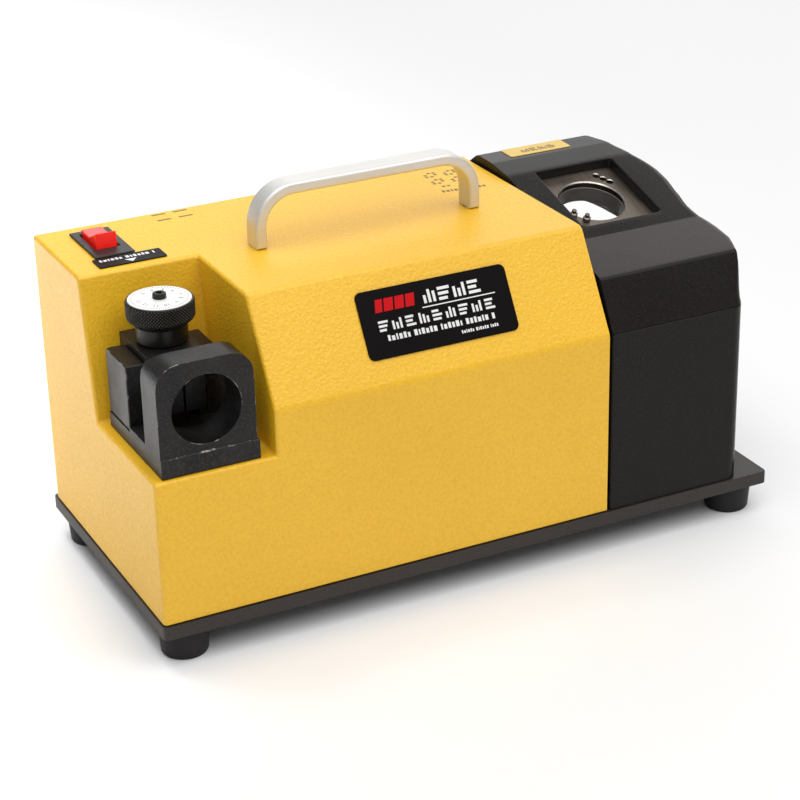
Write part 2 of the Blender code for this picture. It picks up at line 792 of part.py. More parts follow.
def make_channel():
    """Inverted channel between the guide blocks; the knob's shaft passes down through its top."""
    low, high = SET_X - 13.1, SET_X + 13.1
    channel = box("setting_channel", (low, -37.0, SET_BASE_TOP + GAP), (high, -1.4, CHANNEL_TOP), black_steel())
    hollow_top = CHANNEL_TOP - 6.0
    cut(channel, box("channel_hollow", (low + 3.5, -50.0, 90.0), (high - 3.5, 10.0, hollow_top), cutter=True))
    cut(channel, cylinder("shaft_hole", 4.4, 120.0, 150.0, cutter=True, at=(KNOB_X, KNOB_Y), steps=16))


def at_knob(obj):
    obj.location = (KNOB_X * MM, KNOB_Y * MM, 0.0)
    return obj


def make_knob():
    low = CHANNEL_TOP + GAP
    knob = [
        (KNOB_RADIUS - 1.0, 152.9),
        (KNOB_RADIUS, 152.1),
        (KNOB_RADIUS, 145.2),
        (KNOB_RADIUS - 1.0, 144.0),
        (NECK_RADIUS, 141.8),
        (NECK_RADIUS, low),
        (4.3, low),
        (4.3, 143.0),
        (2.4, 143.0),
        (2.4, 152.0),
        (14.7, 152.0),
        (14.7, 152.9),
    ]
    at_knob(turned("setting_knob", knob, black_steel(), 40))
    at_knob(turned("dial_disc", ring(14.4, 2.6, 152.3, 153.1), white_plastic(), 40))
    screw = [
        (0.0, 153.9), (1.4, 153.9), (1.4, 155.6), (2.5, 155.6), (3.2, 154.9), (3.2, 153.4), (2.1, 153.4),
        (2.1, 134.6), (0.0, 134.6),
    ]
    at_knob(turned("knob_screw", screw, black_steel(), 12))
    shaft = [
        (0.0, 134.2), (2.4, 134.2), (2.4, 142.7), (4.0, 142.7), (4.0, 124.0), (9.0, 124.0), (9.0, 118.5), (0.0, 118.5)
    ]
    at_knob(turned("knob_shaft", shaft, bright_steel(), 24))


def make_jaws():
    """Two opposed jaws that the knob opens and closes behind the bore."""
    for name, side in (("setting_jaw_left", -1), ("setting_jaw_right", 1)):

        def span(near, far, y0, y1, z0, z1):
            xs = sorted((SET_X + side * near, SET_X + side * far))
            return (xs[0], y0, z0), (xs[1], y1, z1)

        jaw = box(name, *span(0.5, 10.2, -45.0, -38.0, 108.0, 130.0), black_steel())
        join(jaw, box(name + "_arm", *span(1.6, 4.2, -39.0, -12.0, 110.0, 117.5), black_steel()))


# ---------------------------------------------------------------- switch, handle, labels


def make_switch():
    half_x, half_y = SWITCH_FRAME[0] / 2, SWITCH_FRAME[1] / 2
    hole_x, hole_y = SWITCH_HOLE[0] / 2, SWITCH_HOLE[1] / 2
    low = HOUSING_TOP + GAP
    high = low + SWITCH_FRAME[2]
    middle = SWITCH_Y + SWITCH_FRAME_SHIFT
    frame = box(
        "switch_frame",
        (SWITCH_X - half_x, middle - half_y, low),
        (SWITCH_X + half_x, middle + half_y, high),
        black_plastic(),
    )
    body = box(
        "switch_body",
        (SWITCH_X - hole_x - 1.2, SWITCH_Y - hole_y - 1.2, 132.0),
        (SWITCH_X + hole_x + 1.2, SWITCH_Y + hole_y + 1.2, low + 0.5),
        black_plastic(),
    )
    join(frame, body)
    cut(
        frame,
        box(
            "switch_well",
            (SWITCH_X - hole_x, SWITCH_Y - hole_y, 144.0),
            (SWITCH_X + hole_x, SWITCH_Y + hole_y, 170.0),
            cutter=True,
        ),
    )
    outline = [(-10.4, 4.6), (-9.8, -3.5), (-5.5, -8.0), (5.5, -8.0), (9.8, -3.5), (10.4, 4.6), (0.0, 2.2)]
    turn = Matrix.Rotation(-ROCKER_TILT, 2)
    outline = [turn @ Vector(point) for point in outline]
    half = SWITCH_HOLE[0] / 2 - 0.9
    rocker = sheet_along("x", "switch_rocker", outline, -half, half, red_plastic())
    rocker.location = (SWITCH_X * MM, SWITCH_Y * MM, rocker_axis_z() * MM)


def rocker_axis_z():
    return HOUSING_TOP + GAP + SWITCH_FRAME[2]


def handle_screw_places():
    return (HANDLE_LEFT + HANDLE_THICK / 2 + 0.6, HANDLE_RIGHT - HANDLE_THICK / 2 - 0.6)


def make_handle():
    low = HOUSING_TOP + GAP
    thick, radius = HANDLE_THICK, HANDLE_RADIUS
    left, right = HANDLE_LEFT, HANDLE_RIGHT
    outline = [
        (left, low, 0),
        (left, HANDLE_TOP, radius),
        (right, HANDLE_TOP, radius),
        (right, low, 0),
        (right - thick, low, 0),
        (right - thick, HANDLE_TOP - thick, radius - thick),
        (left + thick, HANDLE_TOP - thick, radius - thick),
        (left + thick, low, 0),
    ]
    y0, y1 = HANDLE_Y - HANDLE_WIDTH / 2, HANDLE_Y + HANDLE_WIDTH / 2
    handle = sheet_along("y", "carry_handle", rounded_outline(outline, 6), y0, y1, aluminium())
    for index, middle in enumerate((left + thick / 2, right - thick / 2)):
        hole = cylinder(f"foot_tap_{index}", 1.7, low - 5, low + 12, cutter=True, at=(middle, HANDLE_Y), steps=10)
        cut(handle, hole)
        screw = turned(
            f"handle_screw_{('left', 'right')[index]}",
            [(0.0, low + 11), (1.4, low + 11), (1.4, HOUSING_TOP - SHEET - GAP), (4.0, HOUSING_TOP - SHEET - GAP),
             (4.0, HOUSING_TOP - SHEET - 3.0), (0.0, HOUSING_TOP - SHEET - 3.0)],
            bright_steel(),
            12,
        )
        screw.location = (middle * MM, HANDLE_Y * MM, 0.0)


def slanted_label(name, low_corner, high_corner, x0, x1, thick, paint):
    """A thin plate on a face that runs from low_corner to high_corner in (y, z)."""
    low_corner, high_corner = Vector(low_corner), Vector(high_corner)
    along = (high_corner - low_corner).normalized()
    out = Vector((-along.y, along.x))
    outline = [
        low_corner + out * GAP,
        high_corner + out * GAP,
        high_corner + out * (GAP + thick),
        low_corner + out * (GAP + thick),
    ]
    return sheet_along("x", name, outline, x0, x1, paint)


def make_labels():
    slope_low = Vector((HOUSING_FRONT, SLOPE_LOW_Z))
    slope_high = Vector((SLOPE_HIGH_Y, HOUSING_TOP))
    along = (slope_high - slope_low).normalized()
    slanted_label("name_plate", slope_low + along * 12.0, slope_low + along * 43.3, -52.5, 23.3, 0.5, label_black())
    low = HOUSING_TOP + GAP
    box("setting_label", (-146.9, 12.8, low), (-114.4, 24.0, low + 0.4), label_black())
    ridge, rear = Vector(HOOD_RIDGE), Vector(HOOD_REAR)
    fall = (rear - ridge).normalized()
    slanted_label("hood_label", ridge + fall * 3.0, ridge + fall * 14.4, 82.4, 116.9, 0.3, label_yellow())


def main():
    start_scene()
    make_base_plate()
    make_feet()
    make_front_screws()
    make_housing()
    make_bulkhead()
    make_power_inlet()
    make_wheel_cover()
    make_hood()
    make_port()
    make_motor()
    make_fan()
    make_cradle()
    make_capacitor()
    make_wheel()
    make_setting_bracket()
    make_guide_blocks()
    make_channel()
    make_knob()
    make_jaws()
    make_switch()
    make_handle()
    make_labels()


main()
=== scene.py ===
"""Drill bit sharpener: camera, light, materials and the fine shapes that ride on the CAD frame.

Lengths are in millimetres and MM turns them into metres, in the CAD's frame: +X towards the grinding wheel,
-Y towards the operator, +Z up.
"""

import json
import math

import bmesh
import bpy
from mathutils import Matrix, Vector


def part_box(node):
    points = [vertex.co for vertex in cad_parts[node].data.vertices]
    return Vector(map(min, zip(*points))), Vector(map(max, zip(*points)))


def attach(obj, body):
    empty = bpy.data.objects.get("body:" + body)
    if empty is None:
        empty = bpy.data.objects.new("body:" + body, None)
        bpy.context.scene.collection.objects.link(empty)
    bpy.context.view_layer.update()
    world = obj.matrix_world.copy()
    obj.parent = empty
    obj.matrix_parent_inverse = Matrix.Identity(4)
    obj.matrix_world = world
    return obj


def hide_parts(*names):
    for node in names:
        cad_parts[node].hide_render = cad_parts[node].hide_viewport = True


MM = 0.001
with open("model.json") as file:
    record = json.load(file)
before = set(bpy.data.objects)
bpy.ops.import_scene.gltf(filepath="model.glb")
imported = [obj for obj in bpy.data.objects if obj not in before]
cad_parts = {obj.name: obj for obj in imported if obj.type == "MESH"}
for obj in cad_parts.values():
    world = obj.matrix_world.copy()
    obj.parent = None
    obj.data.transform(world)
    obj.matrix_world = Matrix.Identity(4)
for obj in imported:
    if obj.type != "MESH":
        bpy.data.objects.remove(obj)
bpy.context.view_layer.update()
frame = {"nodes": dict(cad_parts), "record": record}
NODES = frame["nodes"]

KNOB_AT = (-131.4, -19.6)
KNURL_LINES = 62.0
KNURL_RADIUS = 15.7
KNURL_BAND = (144.6, 152.4)
DIAL_TICKS = 60.0
TICK_BAND = (11.9, 13.4)
CAMERA_AT = (-443.7, -894.3, 524.1)
CAMERA_AZIMUTH = -26.13
CAMERA_ELEVATION = 24.65
CAMERA_ROLL = -1.414
CAMERA_LENS = 101.49


# ---------------------------------------------------------------- camera, light, floor


def make_camera():
    data = bpy.data.cameras.new("camera")
    data.lens = CAMERA_LENS
    data.sensor_width = 36.0
    data.clip_end = 50.0
    camera = bpy.data.objects.new("camera", data)
    bpy.context.scene.collection.objects.link(camera)
    turn = (
        Matrix.Rotation(math.radians(CAMERA_AZIMUTH), 4, "Z")
        @ Matrix.Rotation(math.radians(90.0 - CAMERA_ELEVATION), 4, "X")
        @ Matrix.Rotation(math.radians(CAMERA_ROLL), 4, "Z")
    )
    camera.matrix_world = Matrix.Translation(Vector(CAMERA_AT) * MM) @ turn
    bpy.context.scene.camera = camera


def area_light(name, at, aim, size, power):
    data = bpy.data.lights.new(name, "AREA")
    data.shape = "RECTANGLE"
    data.size, data.size_y = size
    data.energy = power
    lamp = bpy.data.objects.new(name, data)
    bpy.context.scene.collection.objects.link(lamp)
    lamp.location = at
    lamp.rotation_euler = (Vector(aim) - Vector(at)).to_track_quat("-Z", "Y").to_euler()
    return lamp


def make_light():
    area_light("key", (0.1, -0.6, 1.5), (0.0, 0.0, 0.08), (2.2, 1.9), 29.0)
    area_light("back_soft", (0.75, 1.25, 0.85), (0.0, 0.0, 0.1), (1.7, 0.9), 7.0)
    glow = area_light("left_glow", (-0.6, 0.7, 1.0), (-0.6, 0.7, 0.0), (0.8, 1.0), 9.0)
    glow.data.spread = math.radians(70.0)
    world = bpy.data.worlds.new("studio")
    bpy.context.scene.world = world
    world.use_nodes = True
    world.node_tree.nodes["Background"].inputs["Color"].default_value = (1.0, 1.0, 1.0, 1.0)
    world.node_tree.nodes["Background"].inputs["Strength"].default_value = 0.31
    bpy.context.scene.view_settings.view_transform = "Standard"
    bpy.context.scene.view_settings.look = "None"


def make_floor():
    mesh = bpy.data.meshes.new("floor")
    half = 12.0
    corners = [(-half, -half, 0), (half, -half, 0), (half, half, 0), (-half, half, 0)]
    mesh.from_pydata(corners, [], [(0, 1, 2, 3)])
    floor = bpy.data.objects.new("floor", mesh)
    bpy.context.scene.collection.objects.link(floor)
    paint = Paint("floor_paper", (0.9, 0.9, 0.9), 0.8)
    mesh.materials.append(paint.material)


# ---------------------------------------------------------------- materials


class Paint:
    """A material on one Principled shader, with short calls for the nodes that feed it."""

    def __init__(self, name, colour, roughness, metallic=0.0):
        self.material = bpy.data.materials.new(name)
        self.material.use_nodes = True
        self.tree = self.material.node_tree
        self.shader = self.tree.nodes["Principled BSDF"]
        self.set(self.shader, "Base Color", (*colour, 1.0))
        self.set(self.shader, "Roughness", roughness)
        self.set(self.shader, "Metallic", metallic)
        self.place = self.tree.nodes.new("ShaderNodeTexCoord").outputs["Object"]

    def set(self, node, socket, value):
        if isinstance(value, bpy.types.NodeSocket):
            self.tree.links.new(value, node.inputs[socket])
        else:
            node.inputs[socket].default_value = value

    def node(self, kind, output=0, settings=None, **inputs):
        made = self.tree.nodes.new(kind)
        for name, value in (settings or {}).items():
            setattr(made, name, value)
        for name, value in inputs.items():
            key = int(name[1:]) if name[0] == "_" else name.replace("_", " ")
            self.set(made, key, value)
        return made.outputs[output]

    def noise(self, scale, detail=3.0, roughness=0.55, place=None):
        """Noise from 0 to 1; scale is in cells per metre."""
        return self.node(
            "ShaderNodeTexNoise", Vector=place or self.place, Scale=scale, Detail=detail, Roughness=roughness
        )

    def from_knob_axis(self):
        """The place as x, y and z, with x and y counted from the knob's axis."""
        to_axis = (-KNOB_AT[0] * MM, -KNOB_AT[1] * MM, 0.0)
        split = self.tree.nodes.new("ShaderNodeSeparateXYZ")
        self.set(split, 0, self.node("ShaderNodeMapping", Vector=self.place, Location=to_axis))
        return split.outputs

    def within(self, value, low, high):
        """1 where the value lies between the two, else 0."""
        above = self.math("GREATER_THAN", value, low)
        return self.math("MULTIPLY", above, self.math("LESS_THAN", value, high))

    def stretch(self, x, y, z):
        return self.node("ShaderNodeMapping", Vector=self.place, Scale=(x, y, z))

    def span(self, value, low, high, to_low=0.0, to_high=1.0):
        return self.node(
            "ShaderNodeMapRange", Value=value, From_Min=low, From_Max=high, To_Min=to_low, To_Max=to_high
        )

    def math(self, operation, a, b=0.0):
        return self.node("ShaderNodeMath", settings={"operation": operation}, _0=a, _1=b)

    def blend(self, share, first, second):
        """Mixes two colours; share 0 gives the first."""
        made = self.tree.nodes.new("ShaderNodeMix")
        made.data_type = "RGBA"
        for index, value in ((0, share), (6, first), (7, second)):
            if isinstance(value, tuple):
                value = (*value, 1.0)
            if isinstance(value, bpy.types.NodeSocket):
                self.tree.links.new(value, made.inputs[index])
            else:
                made.inputs[index].default_value = value
        return made.outputs[2]

    def colour(self, value):
        self.set(self.shader, "Base Color", value)

    def rough(self, value):
        self.set(self.shader, "Roughness", value)

    def bump(self, height, strength, depth_mm, normal=None):
        inputs = {"Height": height, "Strength": strength, "Distance": depth_mm * MM}
        if normal is not None:
            inputs["Normal"] = normal
        made = self.node("ShaderNodeBump", **inputs)
        self.set(self.shader, "Normal", made)
        return made


def yellow_paint():
    paint = Paint("yellow_powder_coat", (0.86, 0.49, 0.01), 0.4)
    paint.set(paint.shader, "Specular IOR Level", 0.7)
    cloud = paint.noise(9.0, 2.0)
    fine = paint.noise(700.0, 2.0)
    tone = paint.blend(paint.span(cloud, 0.35, 0.65), (0.84, 0.475, 0.008), (0.88, 0.505, 0.012))
    tone = paint.blend(paint.span(fine, 0.4, 0.7, 0.0, 0.4), tone, (0.7, 0.36, 0.004))
    paint.colour(tone)
    paint.rough(paint.span(fine, 0.3, 0.7, 0.4, 0.52))
    grain = paint.node(
        "ShaderNodeTexVoronoi", Vector=paint.place, Scale=820.0, settings={"feature": "SMOOTH_F1"}
    )
    coarse = paint.bump(grain, 0.85, 0.26)
    paint.bump(fine, 0.2, 0.12, coarse)
    return paint.material


def black_paint(name, base, lift, roughness, shine):
    """Fine textured dark coat; lift is the colour of its raised grains."""
    paint = Paint(name, base, roughness)
    paint.set(paint.shader, "Specular IOR Level", shine)
    cloud = paint.noise(14.0, 3.0)
    fine = paint.noise(1400.0, 2.0)
    paint.colour(paint.blend(paint.span(fine, 0.45, 0.75), base, lift))
    paint.rough(paint.span(cloud, 0.3, 0.7, roughness - 0.05, roughness + 0.07))
    paint.bump(fine, 0.25, 0.1)
    return paint.material


def steel(name, base, roughness, direction=(60, 60, 900), metallic=1.0):
    """Turned, ground or brushed metal: fine streaks along the direction with the smallest stretch."""
    paint = Paint(name, base, roughness, metallic)
    streak = paint.noise(1.0, 4.0, 0.6, paint.stretch(*direction))
    cloud = paint.noise(60.0, 3.0)
    dark = tuple(0.72 * c for c in base)
    paint.colour(paint.blend(paint.span(streak, 0.35, 0.7), base, dark))
    paint.rough(paint.span(cloud, 0.3, 0.7, roughness - 0.06, roughness + 0.1))
    paint.bump(streak, 0.12, 0.08)
    return paint.material


def black_oxide():
    paint = Paint("black_oxide", (0.028, 0.026, 0.026), 0.36, 0.55)
    cloud = paint.noise(45.0, 4.0)
    fine = paint.noise(900.0, 3.0)
    tone = paint.blend(paint.span(cloud, 0.35, 0.7), (0.009, 0.0085, 0.009), (0.024, 0.022, 0.021))
    paint.colour(paint.blend(paint.span(fine, 0.5, 0.75, 0.0, 0.7), tone, (0.05, 0.045, 0.041)))
    paint.rough(paint.span(cloud, 0.3, 0.7, 0.36, 0.52))
    paint.bump(fine, 0.5, 0.16)
    return paint.material


def worn_edge():
    """Blackened steel rubbed bright in places, for rounded edges."""
    paint = Paint("worn_edge", (0.05, 0.047, 0.045), 0.35, 0.8)
    patch = paint.span(paint.noise(130.0, 4.0, 0.65), 0.54, 0.68)
    fine = paint.span(paint.noise(1100.0, 2.0), 0.35, 0.65, 0.3, 1.0)
    share = paint.math("MULTIPLY", patch, fine)
    paint.colour(paint.blend(share, (0.035, 0.033, 0.032), (0.55, 0.52, 0.48)))
    paint.rough(paint.span(share, 0.0, 1.0, 0.4, 0.28))
    return paint.material


def dial_face():
    """White dial with fine graduations round its rim."""
    paint = Paint("dial_face", (0.86, 0.86, 0.84), 0.4)
    x, y, _ = paint.from_knob_axis()
    past_zero = 7.0  # radians added so that the angle is never negative
    angle = paint.math("ADD", paint.math("ARCTAN2", y, x), past_zero)
    reach = paint.math("SQRT", paint.math("ADD", paint.math("MULTIPLY", x, x), paint.math("MULTIPLY", y, y)))
    phase = paint.math("FRACT", paint.math("MULTIPLY", angle, DIAL_TICKS / (2 * math.pi)))
    line = paint.math("LESS_THAN", paint.math("ABSOLUTE", paint.math("SUBTRACT", phase, 0.5)), 0.17)
    mark = paint.math("MULTIPLY", line, paint.within(reach, TICK_BAND[0] * MM, TICK_BAND[1] * MM))
    smudge = paint.span(paint.noise(160.0, 4.0), 0.4, 0.75, 0.0, 0.4)
    base = paint.blend(smudge, (0.86, 0.86, 0.84), (0.5, 0.49, 0.46))
    paint.colour(paint.blend(paint.math("MULTIPLY", mark, 0.75), base, (0.12, 0.12, 0.12)))
    paint.bump(paint.noise(700.0, 2.0), 0.1, 0.03)
    return paint.material


def painted_glow_red():
    """Clear red switch rocker with a painted glow: a faint emission makes it a little brighter than its
    surroundings, though the rocker is no lamp.
    """
    paint = Paint("rocker_red_painted_glow", (0.9, 0.012, 0.006), 0.22)
    cloud = paint.noise(150.0, 3.0)
    paint.colour(paint.blend(paint.span(cloud, 0.3, 0.7), (0.82, 0.01, 0.006), (0.95, 0.014, 0.008)))
    # painted glow: this emission only brightens the red rocker, nothing in the switch is lit
    paint.set(paint.shader, "Emission Color", (1.0, 0.012, 0.005, 1.0))
    paint.set(paint.shader, "Emission Strength", 0.16)
    paint.bump(paint.noise(900.0, 2.0), 0.1, 0.02)
    return paint.material


def satin_aluminium():
    """Soft brushed aluminium; the fine lines follow the bar."""
    light, dark = (0.78, 0.765, 0.735), (0.66, 0.65, 0.62)
    paint = Paint("brushed_aluminium", light, 0.55, 0.8)
    lines = paint.noise(1.0, 4.0, 0.6, paint.stretch(18, 1500, 1500))
    cloud = paint.noise(40.0, 3.0)
    paint.colour(paint.blend(paint.span(lines, 0.35, 0.7, 0.0, 0.5), light, dark))
    paint.rough(paint.span(cloud, 0.3, 0.7, 0.5, 0.6))
    paint.bump(lines, 0.06, 0.05)
    return paint.material


def knurled_steel():
    """Blackened steel; round the rim a crossed knurl with rubbed tips and painted shade in its valleys."""
    paint = Paint("knurled_black", (0.04, 0.036, 0.032), 0.34, 0.6)
    x, y, z = paint.from_knob_axis()
    past_zero = 500.0  # whole turns added so that the phase is never negative
    turns = paint.math("MULTIPLY", paint.math("ARCTAN2", y, x), KNURL_LINES / (2 * math.pi))
    rise = paint.math("MULTIPLY", z, KNURL_LINES / MM / (2 * math.pi * KNURL_RADIUS))
    waves = []
    for operation in ("ADD", "SUBTRACT"):
        phase = paint.math("FRACT", paint.math("ADD", paint.math(operation, turns, rise), past_zero))
        waves.append(paint.math("ABSOLUTE", paint.math("SUBTRACT", phase, 0.5)))
    height = paint.math("MULTIPLY", paint.math("MINIMUM", waves[0], waves[1]), 2.0)
    band = paint.within(z, KNURL_BAND[0] * MM, KNURL_BAND[1] * MM)
    cloud = paint.span(paint.noise(45.0, 4.0), 0.35, 0.7)
    smooth = paint.blend(cloud, (0.013, 0.012, 0.0115), (0.03, 0.027, 0.025))
    # valleys darker than the smooth band: painted shade; tips rubbed bright
    rubbed_and_shaded_knurl = paint.blend(paint.span(height, 0.45, 0.85), (0.004, 0.0035, 0.003), (0.2, 0.18, 0.15))
    paint.colour(paint.blend(band, smooth, rubbed_and_shaded_knurl))
    paint.bump(paint.math("MULTIPLY", height, band), 0.8, 0.45)
    return paint.material


def plain(name, base, roughness, grain=500.0, depth=0.08, shine=0.5, metallic=0.0):
    """Moulded or cast surface with a fine grain and a little change of tone."""
    paint = Paint(name, base, roughness, metallic)
    paint.set(paint.shader, "Specular IOR Level", shine)
    fine = paint.noise(grain, 3.0)
    cloud = paint.noise(25.0, 3.0)
    paint.colour(paint.blend(paint.span(cloud, 0.3, 0.7), tuple(0.86 * c for c in base), base))
    paint.rough(paint.span(fine, 0.3, 0.7, roughness - 0.06, roughness + 0.08))
    paint.bump(fine, 0.25, depth)
    return paint.material


def make_materials():
    """The record's material slots and the finer materials of this scene, by name."""
    return {
        "yellow_paint": yellow_paint(),
        "black_paint": black_paint(
            "cover_black", (0.0115, 0.0098, 0.0088), (0.023, 0.0195, 0.0175), 0.24, 0.12
        ),
        # a lighter copy of the cover black for the hood's front facet: painted sheen for the reflection that
        # facet shows
        "facet_paint": black_paint(
            "cover_black_painted_sheen", (0.036, 0.031, 0.029), (0.056, 0.049, 0.046), 0.28, 0.25
        ),
        "plate_paint": black_paint("plate_coat", (0.026, 0.02, 0.0175), (0.045, 0.036, 0.032), 0.45, 0.35),
        "black_steel": black_oxide(),
        "bright_steel": steel("turned_steel", (0.55, 0.54, 0.52), 0.3),
        "port_steel": steel("ground_port_steel", (0.235, 0.195, 0.16), 0.4, (900, 60, 60)),
        "cast_aluminium": plain("cast_aluminium", (0.5, 0.5, 0.5), 0.5, 300.0, 0.2, metallic=0.9),
        "handle_aluminium": satin_aluminium(),
        "grinding_stone": plain("bonded_abrasive", (0.33, 0.31, 0.28), 0.9, 1500.0, 0.4),
        "foot_rubber": plain("foot_rubber", (0.014, 0.0125, 0.0125), 0.55, 900.0, 0.1, 0.25),
        "black_plastic": plain("black_plastic", (0.016, 0.0145, 0.0135), 0.42, 900.0, 0.06, 0.35),
        "red_plastic": painted_glow_red(),
        "white_plastic": plain("white_plastic", (0.8, 0.8, 0.78), 0.4, 900.0, 0.03),
        "label_black": plain("label_film", (0.0045, 0.0032, 0.0032), 0.4, 900.0, 0.02, 0.06),
        "worn_edge": worn_edge(),
        "dial_face": dial_face(),
        "knob_steel": knurled_steel(),
        "print_white": plain("print_white", (0.8, 0.8, 0.79), 0.45),
        "print_red": plain("print_red", (0.6, 0.006, 0.01), 0.4, 900.0, 0.02, 0.08),
        "print_grey": plain("print_grey", (0.09, 0.09, 0.09), 0.5),
        "print_brown": plain("print_brown", (0.16, 0.095, 0.02), 0.5),
        # bright steel for the port plate's chamfer rims: a painted highlight
        "edge_steel": steel("rim_painted_highlight_steel", (0.62, 0.57, 0.5), 0.28, (300, 300, 300)),
        "sleeve_steel": steel("sleeve_steel", (0.3, 0.27, 0.25), 0.45, (90, 90, 900), 0.5),
        "pin_steel": steel("pin_steel", (0.26, 0.23, 0.2), 0.3, (300, 300, 900)),
        "gasket": plain("gasket_black", (0.006, 0.006, 0.006), 0.4, 900.0, 0.05),
        "label_yellow": plain("sticker_film", (0.75, 0.5, 0.09), 0.4, 900.0, 0.02),
    }


def dress_nodes(materials):
    slots = {part["node"]: part["material_slot"] for part in frame["record"]["subparts"]}
    for name, node in NODES.items():
        node.data.materials.clear()
        node.data.materials.append(materials[slots[name]])


# ---------------------------------------------------------------- shapes


def mesh_of(work, name):
    bmesh.ops.recalc_face_normals(work, faces=work.faces)
    mesh = bpy.data.meshes.new(name)
    work.to_mesh(mesh)
    work.free()
    return mesh


def add_piece(name, mesh, paints, body, replaces=(), sharp=35.0):
    """Puts a finished mesh in those paints of MATERIALS on a body, smooth except at its sharp edges."""
    piece = bpy.data.objects.new(name, mesh)
    bpy.context.scene.collection.objects.link(piece)
    for index, paint in enumerate(paints):
        if index < len(mesh.materials):
            mesh.materials[index] = MATERIALS[paint]
        else:
            mesh.materials.append(MATERIALS[paint])
    mesh.shade_smooth()
    mesh.set_sharp_from_angle(angle=math.radians(sharp))
    even = piece.modifiers.new("even_faces", "WEIGHTED_NORMAL")
    even.keep_sharp = True
    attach(piece, body)
    if replaces:
        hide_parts(*replaces)
    return piece


def cad_copy(node):
    """The CAD mesh of a node as a bmesh of whole flat faces, in millimetres."""
    work = bmesh.new()
    work.from_mesh(NODES[node].data)
    bmesh.ops.scale(work, vec=(1 / MM, 1 / MM, 1 / MM), verts=work.verts)
    bmesh.ops.remove_doubles(work, verts=work.verts, dist=0.01)
    bmesh.ops.dissolve_limit(work, angle_limit=math.radians(1.0), verts=work.verts, edges=work.edges)
    return work


def bevel_edges(work, width, segments=2, above=30.0, pick=None, wear_slot=None):
    """Rounds the edges that turn by more than above degrees; wear_slot paints the rounding with that slot."""
    edges = [
        edge
        for edge in work.edges
        if len(edge.link_faces) == 2
        and edge.calc_face_angle() > math.radians(above)
        and (pick is None or pick(edge))
    ]
    made = bmesh.ops.bevel(
        work, geom=edges, offset=width, segments=segments, affect="EDGES", profile=0.5, clamp_overlap=True
    )
    if wear_slot is not None:
        for face in made["faces"]:
            face.material_index = wear_slot
    return work


def in_metres(work):
    bmesh.ops.scale(work, vec=(MM, MM, MM), verts=work.verts)
    return work


def body_of(node):
    for body, members in frame["record"]["behaviour"]["bodies"].items():
        if node in members:
            return body
    return None


def fine_piece(work, node, paints, name=None, sharp=35.0):
    """Replaces a CAD node with a finished shape in millimetres."""
    mesh = mesh_of(in_metres(work), node)
    return add_piece(name or node + "_fine", mesh, paints, body_of(node), (node,), sharp=sharp)


def refine(node, width, paints, segments=2, above=30.0, wear=False):
    """Replaces a CAD node with the same shape, its edges rounded and, where asked, worn bright."""
    work = cad_copy(node)
    bevel_edges(work, width, segments, above, wear_slot=1 if wear else None)
    return fine_piece(work, node, paints)


def arc(centre, radius, start, end, steps):
    """Points on a circle between two angles in degrees."""
    spread = [math.radians(start + (end - start) * step / steps) for step in range(steps + 1)]
    return [(centre[0] + radius * math.cos(a), centre[1] + radius * math.sin(a)) for a in spread]


def rounded_rectangle(low, high, radius, steps=8):
    """Outline of a rectangle with round corners, anticlockwise."""
    (x0, y0), (x1, y1) = low, high
    return [
        *arc((x1 - radius, y0 + radius), radius, -90, 0, steps),
        *arc((x1 - radius, y1 - radius), radius, 0, 90, steps),
        *arc((x0 + radius, y1 - radius), radius, 90, 180, steps),
        *arc((x0 + radius, y0 + radius), radius, 180, 270, steps),
    ]


def prism(work, outline, low, high, place=None, rim=0.0, rim_steps=3, both=True):
    """Adds a solid of that outline between two heights; rim rounds its upper, and if both its lower, edge."""
    place = place or Matrix.Identity(4)
    if rim:
        turns = [math.radians(90.0 * step / rim_steps) for step in range(rim_steps + 1)]
        rounding = [(rim * (1 - math.sin(turn)), rim * (1 - math.cos(turn))) for turn in turns]
        rows = [(inset, low + rise) for inset, rise in rounding] if both else [(0.0, low)]
        rows += [(inset, high - rise) for inset, rise in reversed(rounding)]
    else:
        rows = [(0.0, low), (0.0, high)]
    return stack(work, outline, rows, place)


def new_face(work, corners):
    """Makes a face of those corners, each taken once."""
    return work.faces.new(list(dict.fromkeys(corners)))


def stack(work, outline, rows, place):
    """Adds a solid through rows of (inset, height) of one outline."""
    rings = []
    for inset, height in rows:
        ring = [work.verts.new(place @ Vector((x, y, height))) for x, y in inset_outline(outline, inset)]
        rings.append(ring)
    count = len(outline)
    for lower, upper in zip(rings, rings[1:]):
        for index in range(count):
            after = (index + 1) % count
            work.faces.new((lower[index], lower[after], upper[after], upper[index]))
    work.faces.new(list(reversed(rings[0])))
    work.faces.new(rings[-1])
    return work


def inset_outline(outline, inset):
    """Moves every corner of an anticlockwise outline inwards."""
    if not inset:
        return outline
    moved = []
    count = len(outline)
    for index, here in enumerate(outline):
        here = Vector(here)
        one = (here - Vector(outline[index - 1])).normalized()
        two = (Vector(outline[(index + 1) % count]) - here).normalized()
        inward = Vector((-one.y, one.x)) + Vector((-two.y, two.x))
        moved.append(here + inward * inset / (1 + one.dot(two)))
    return moved


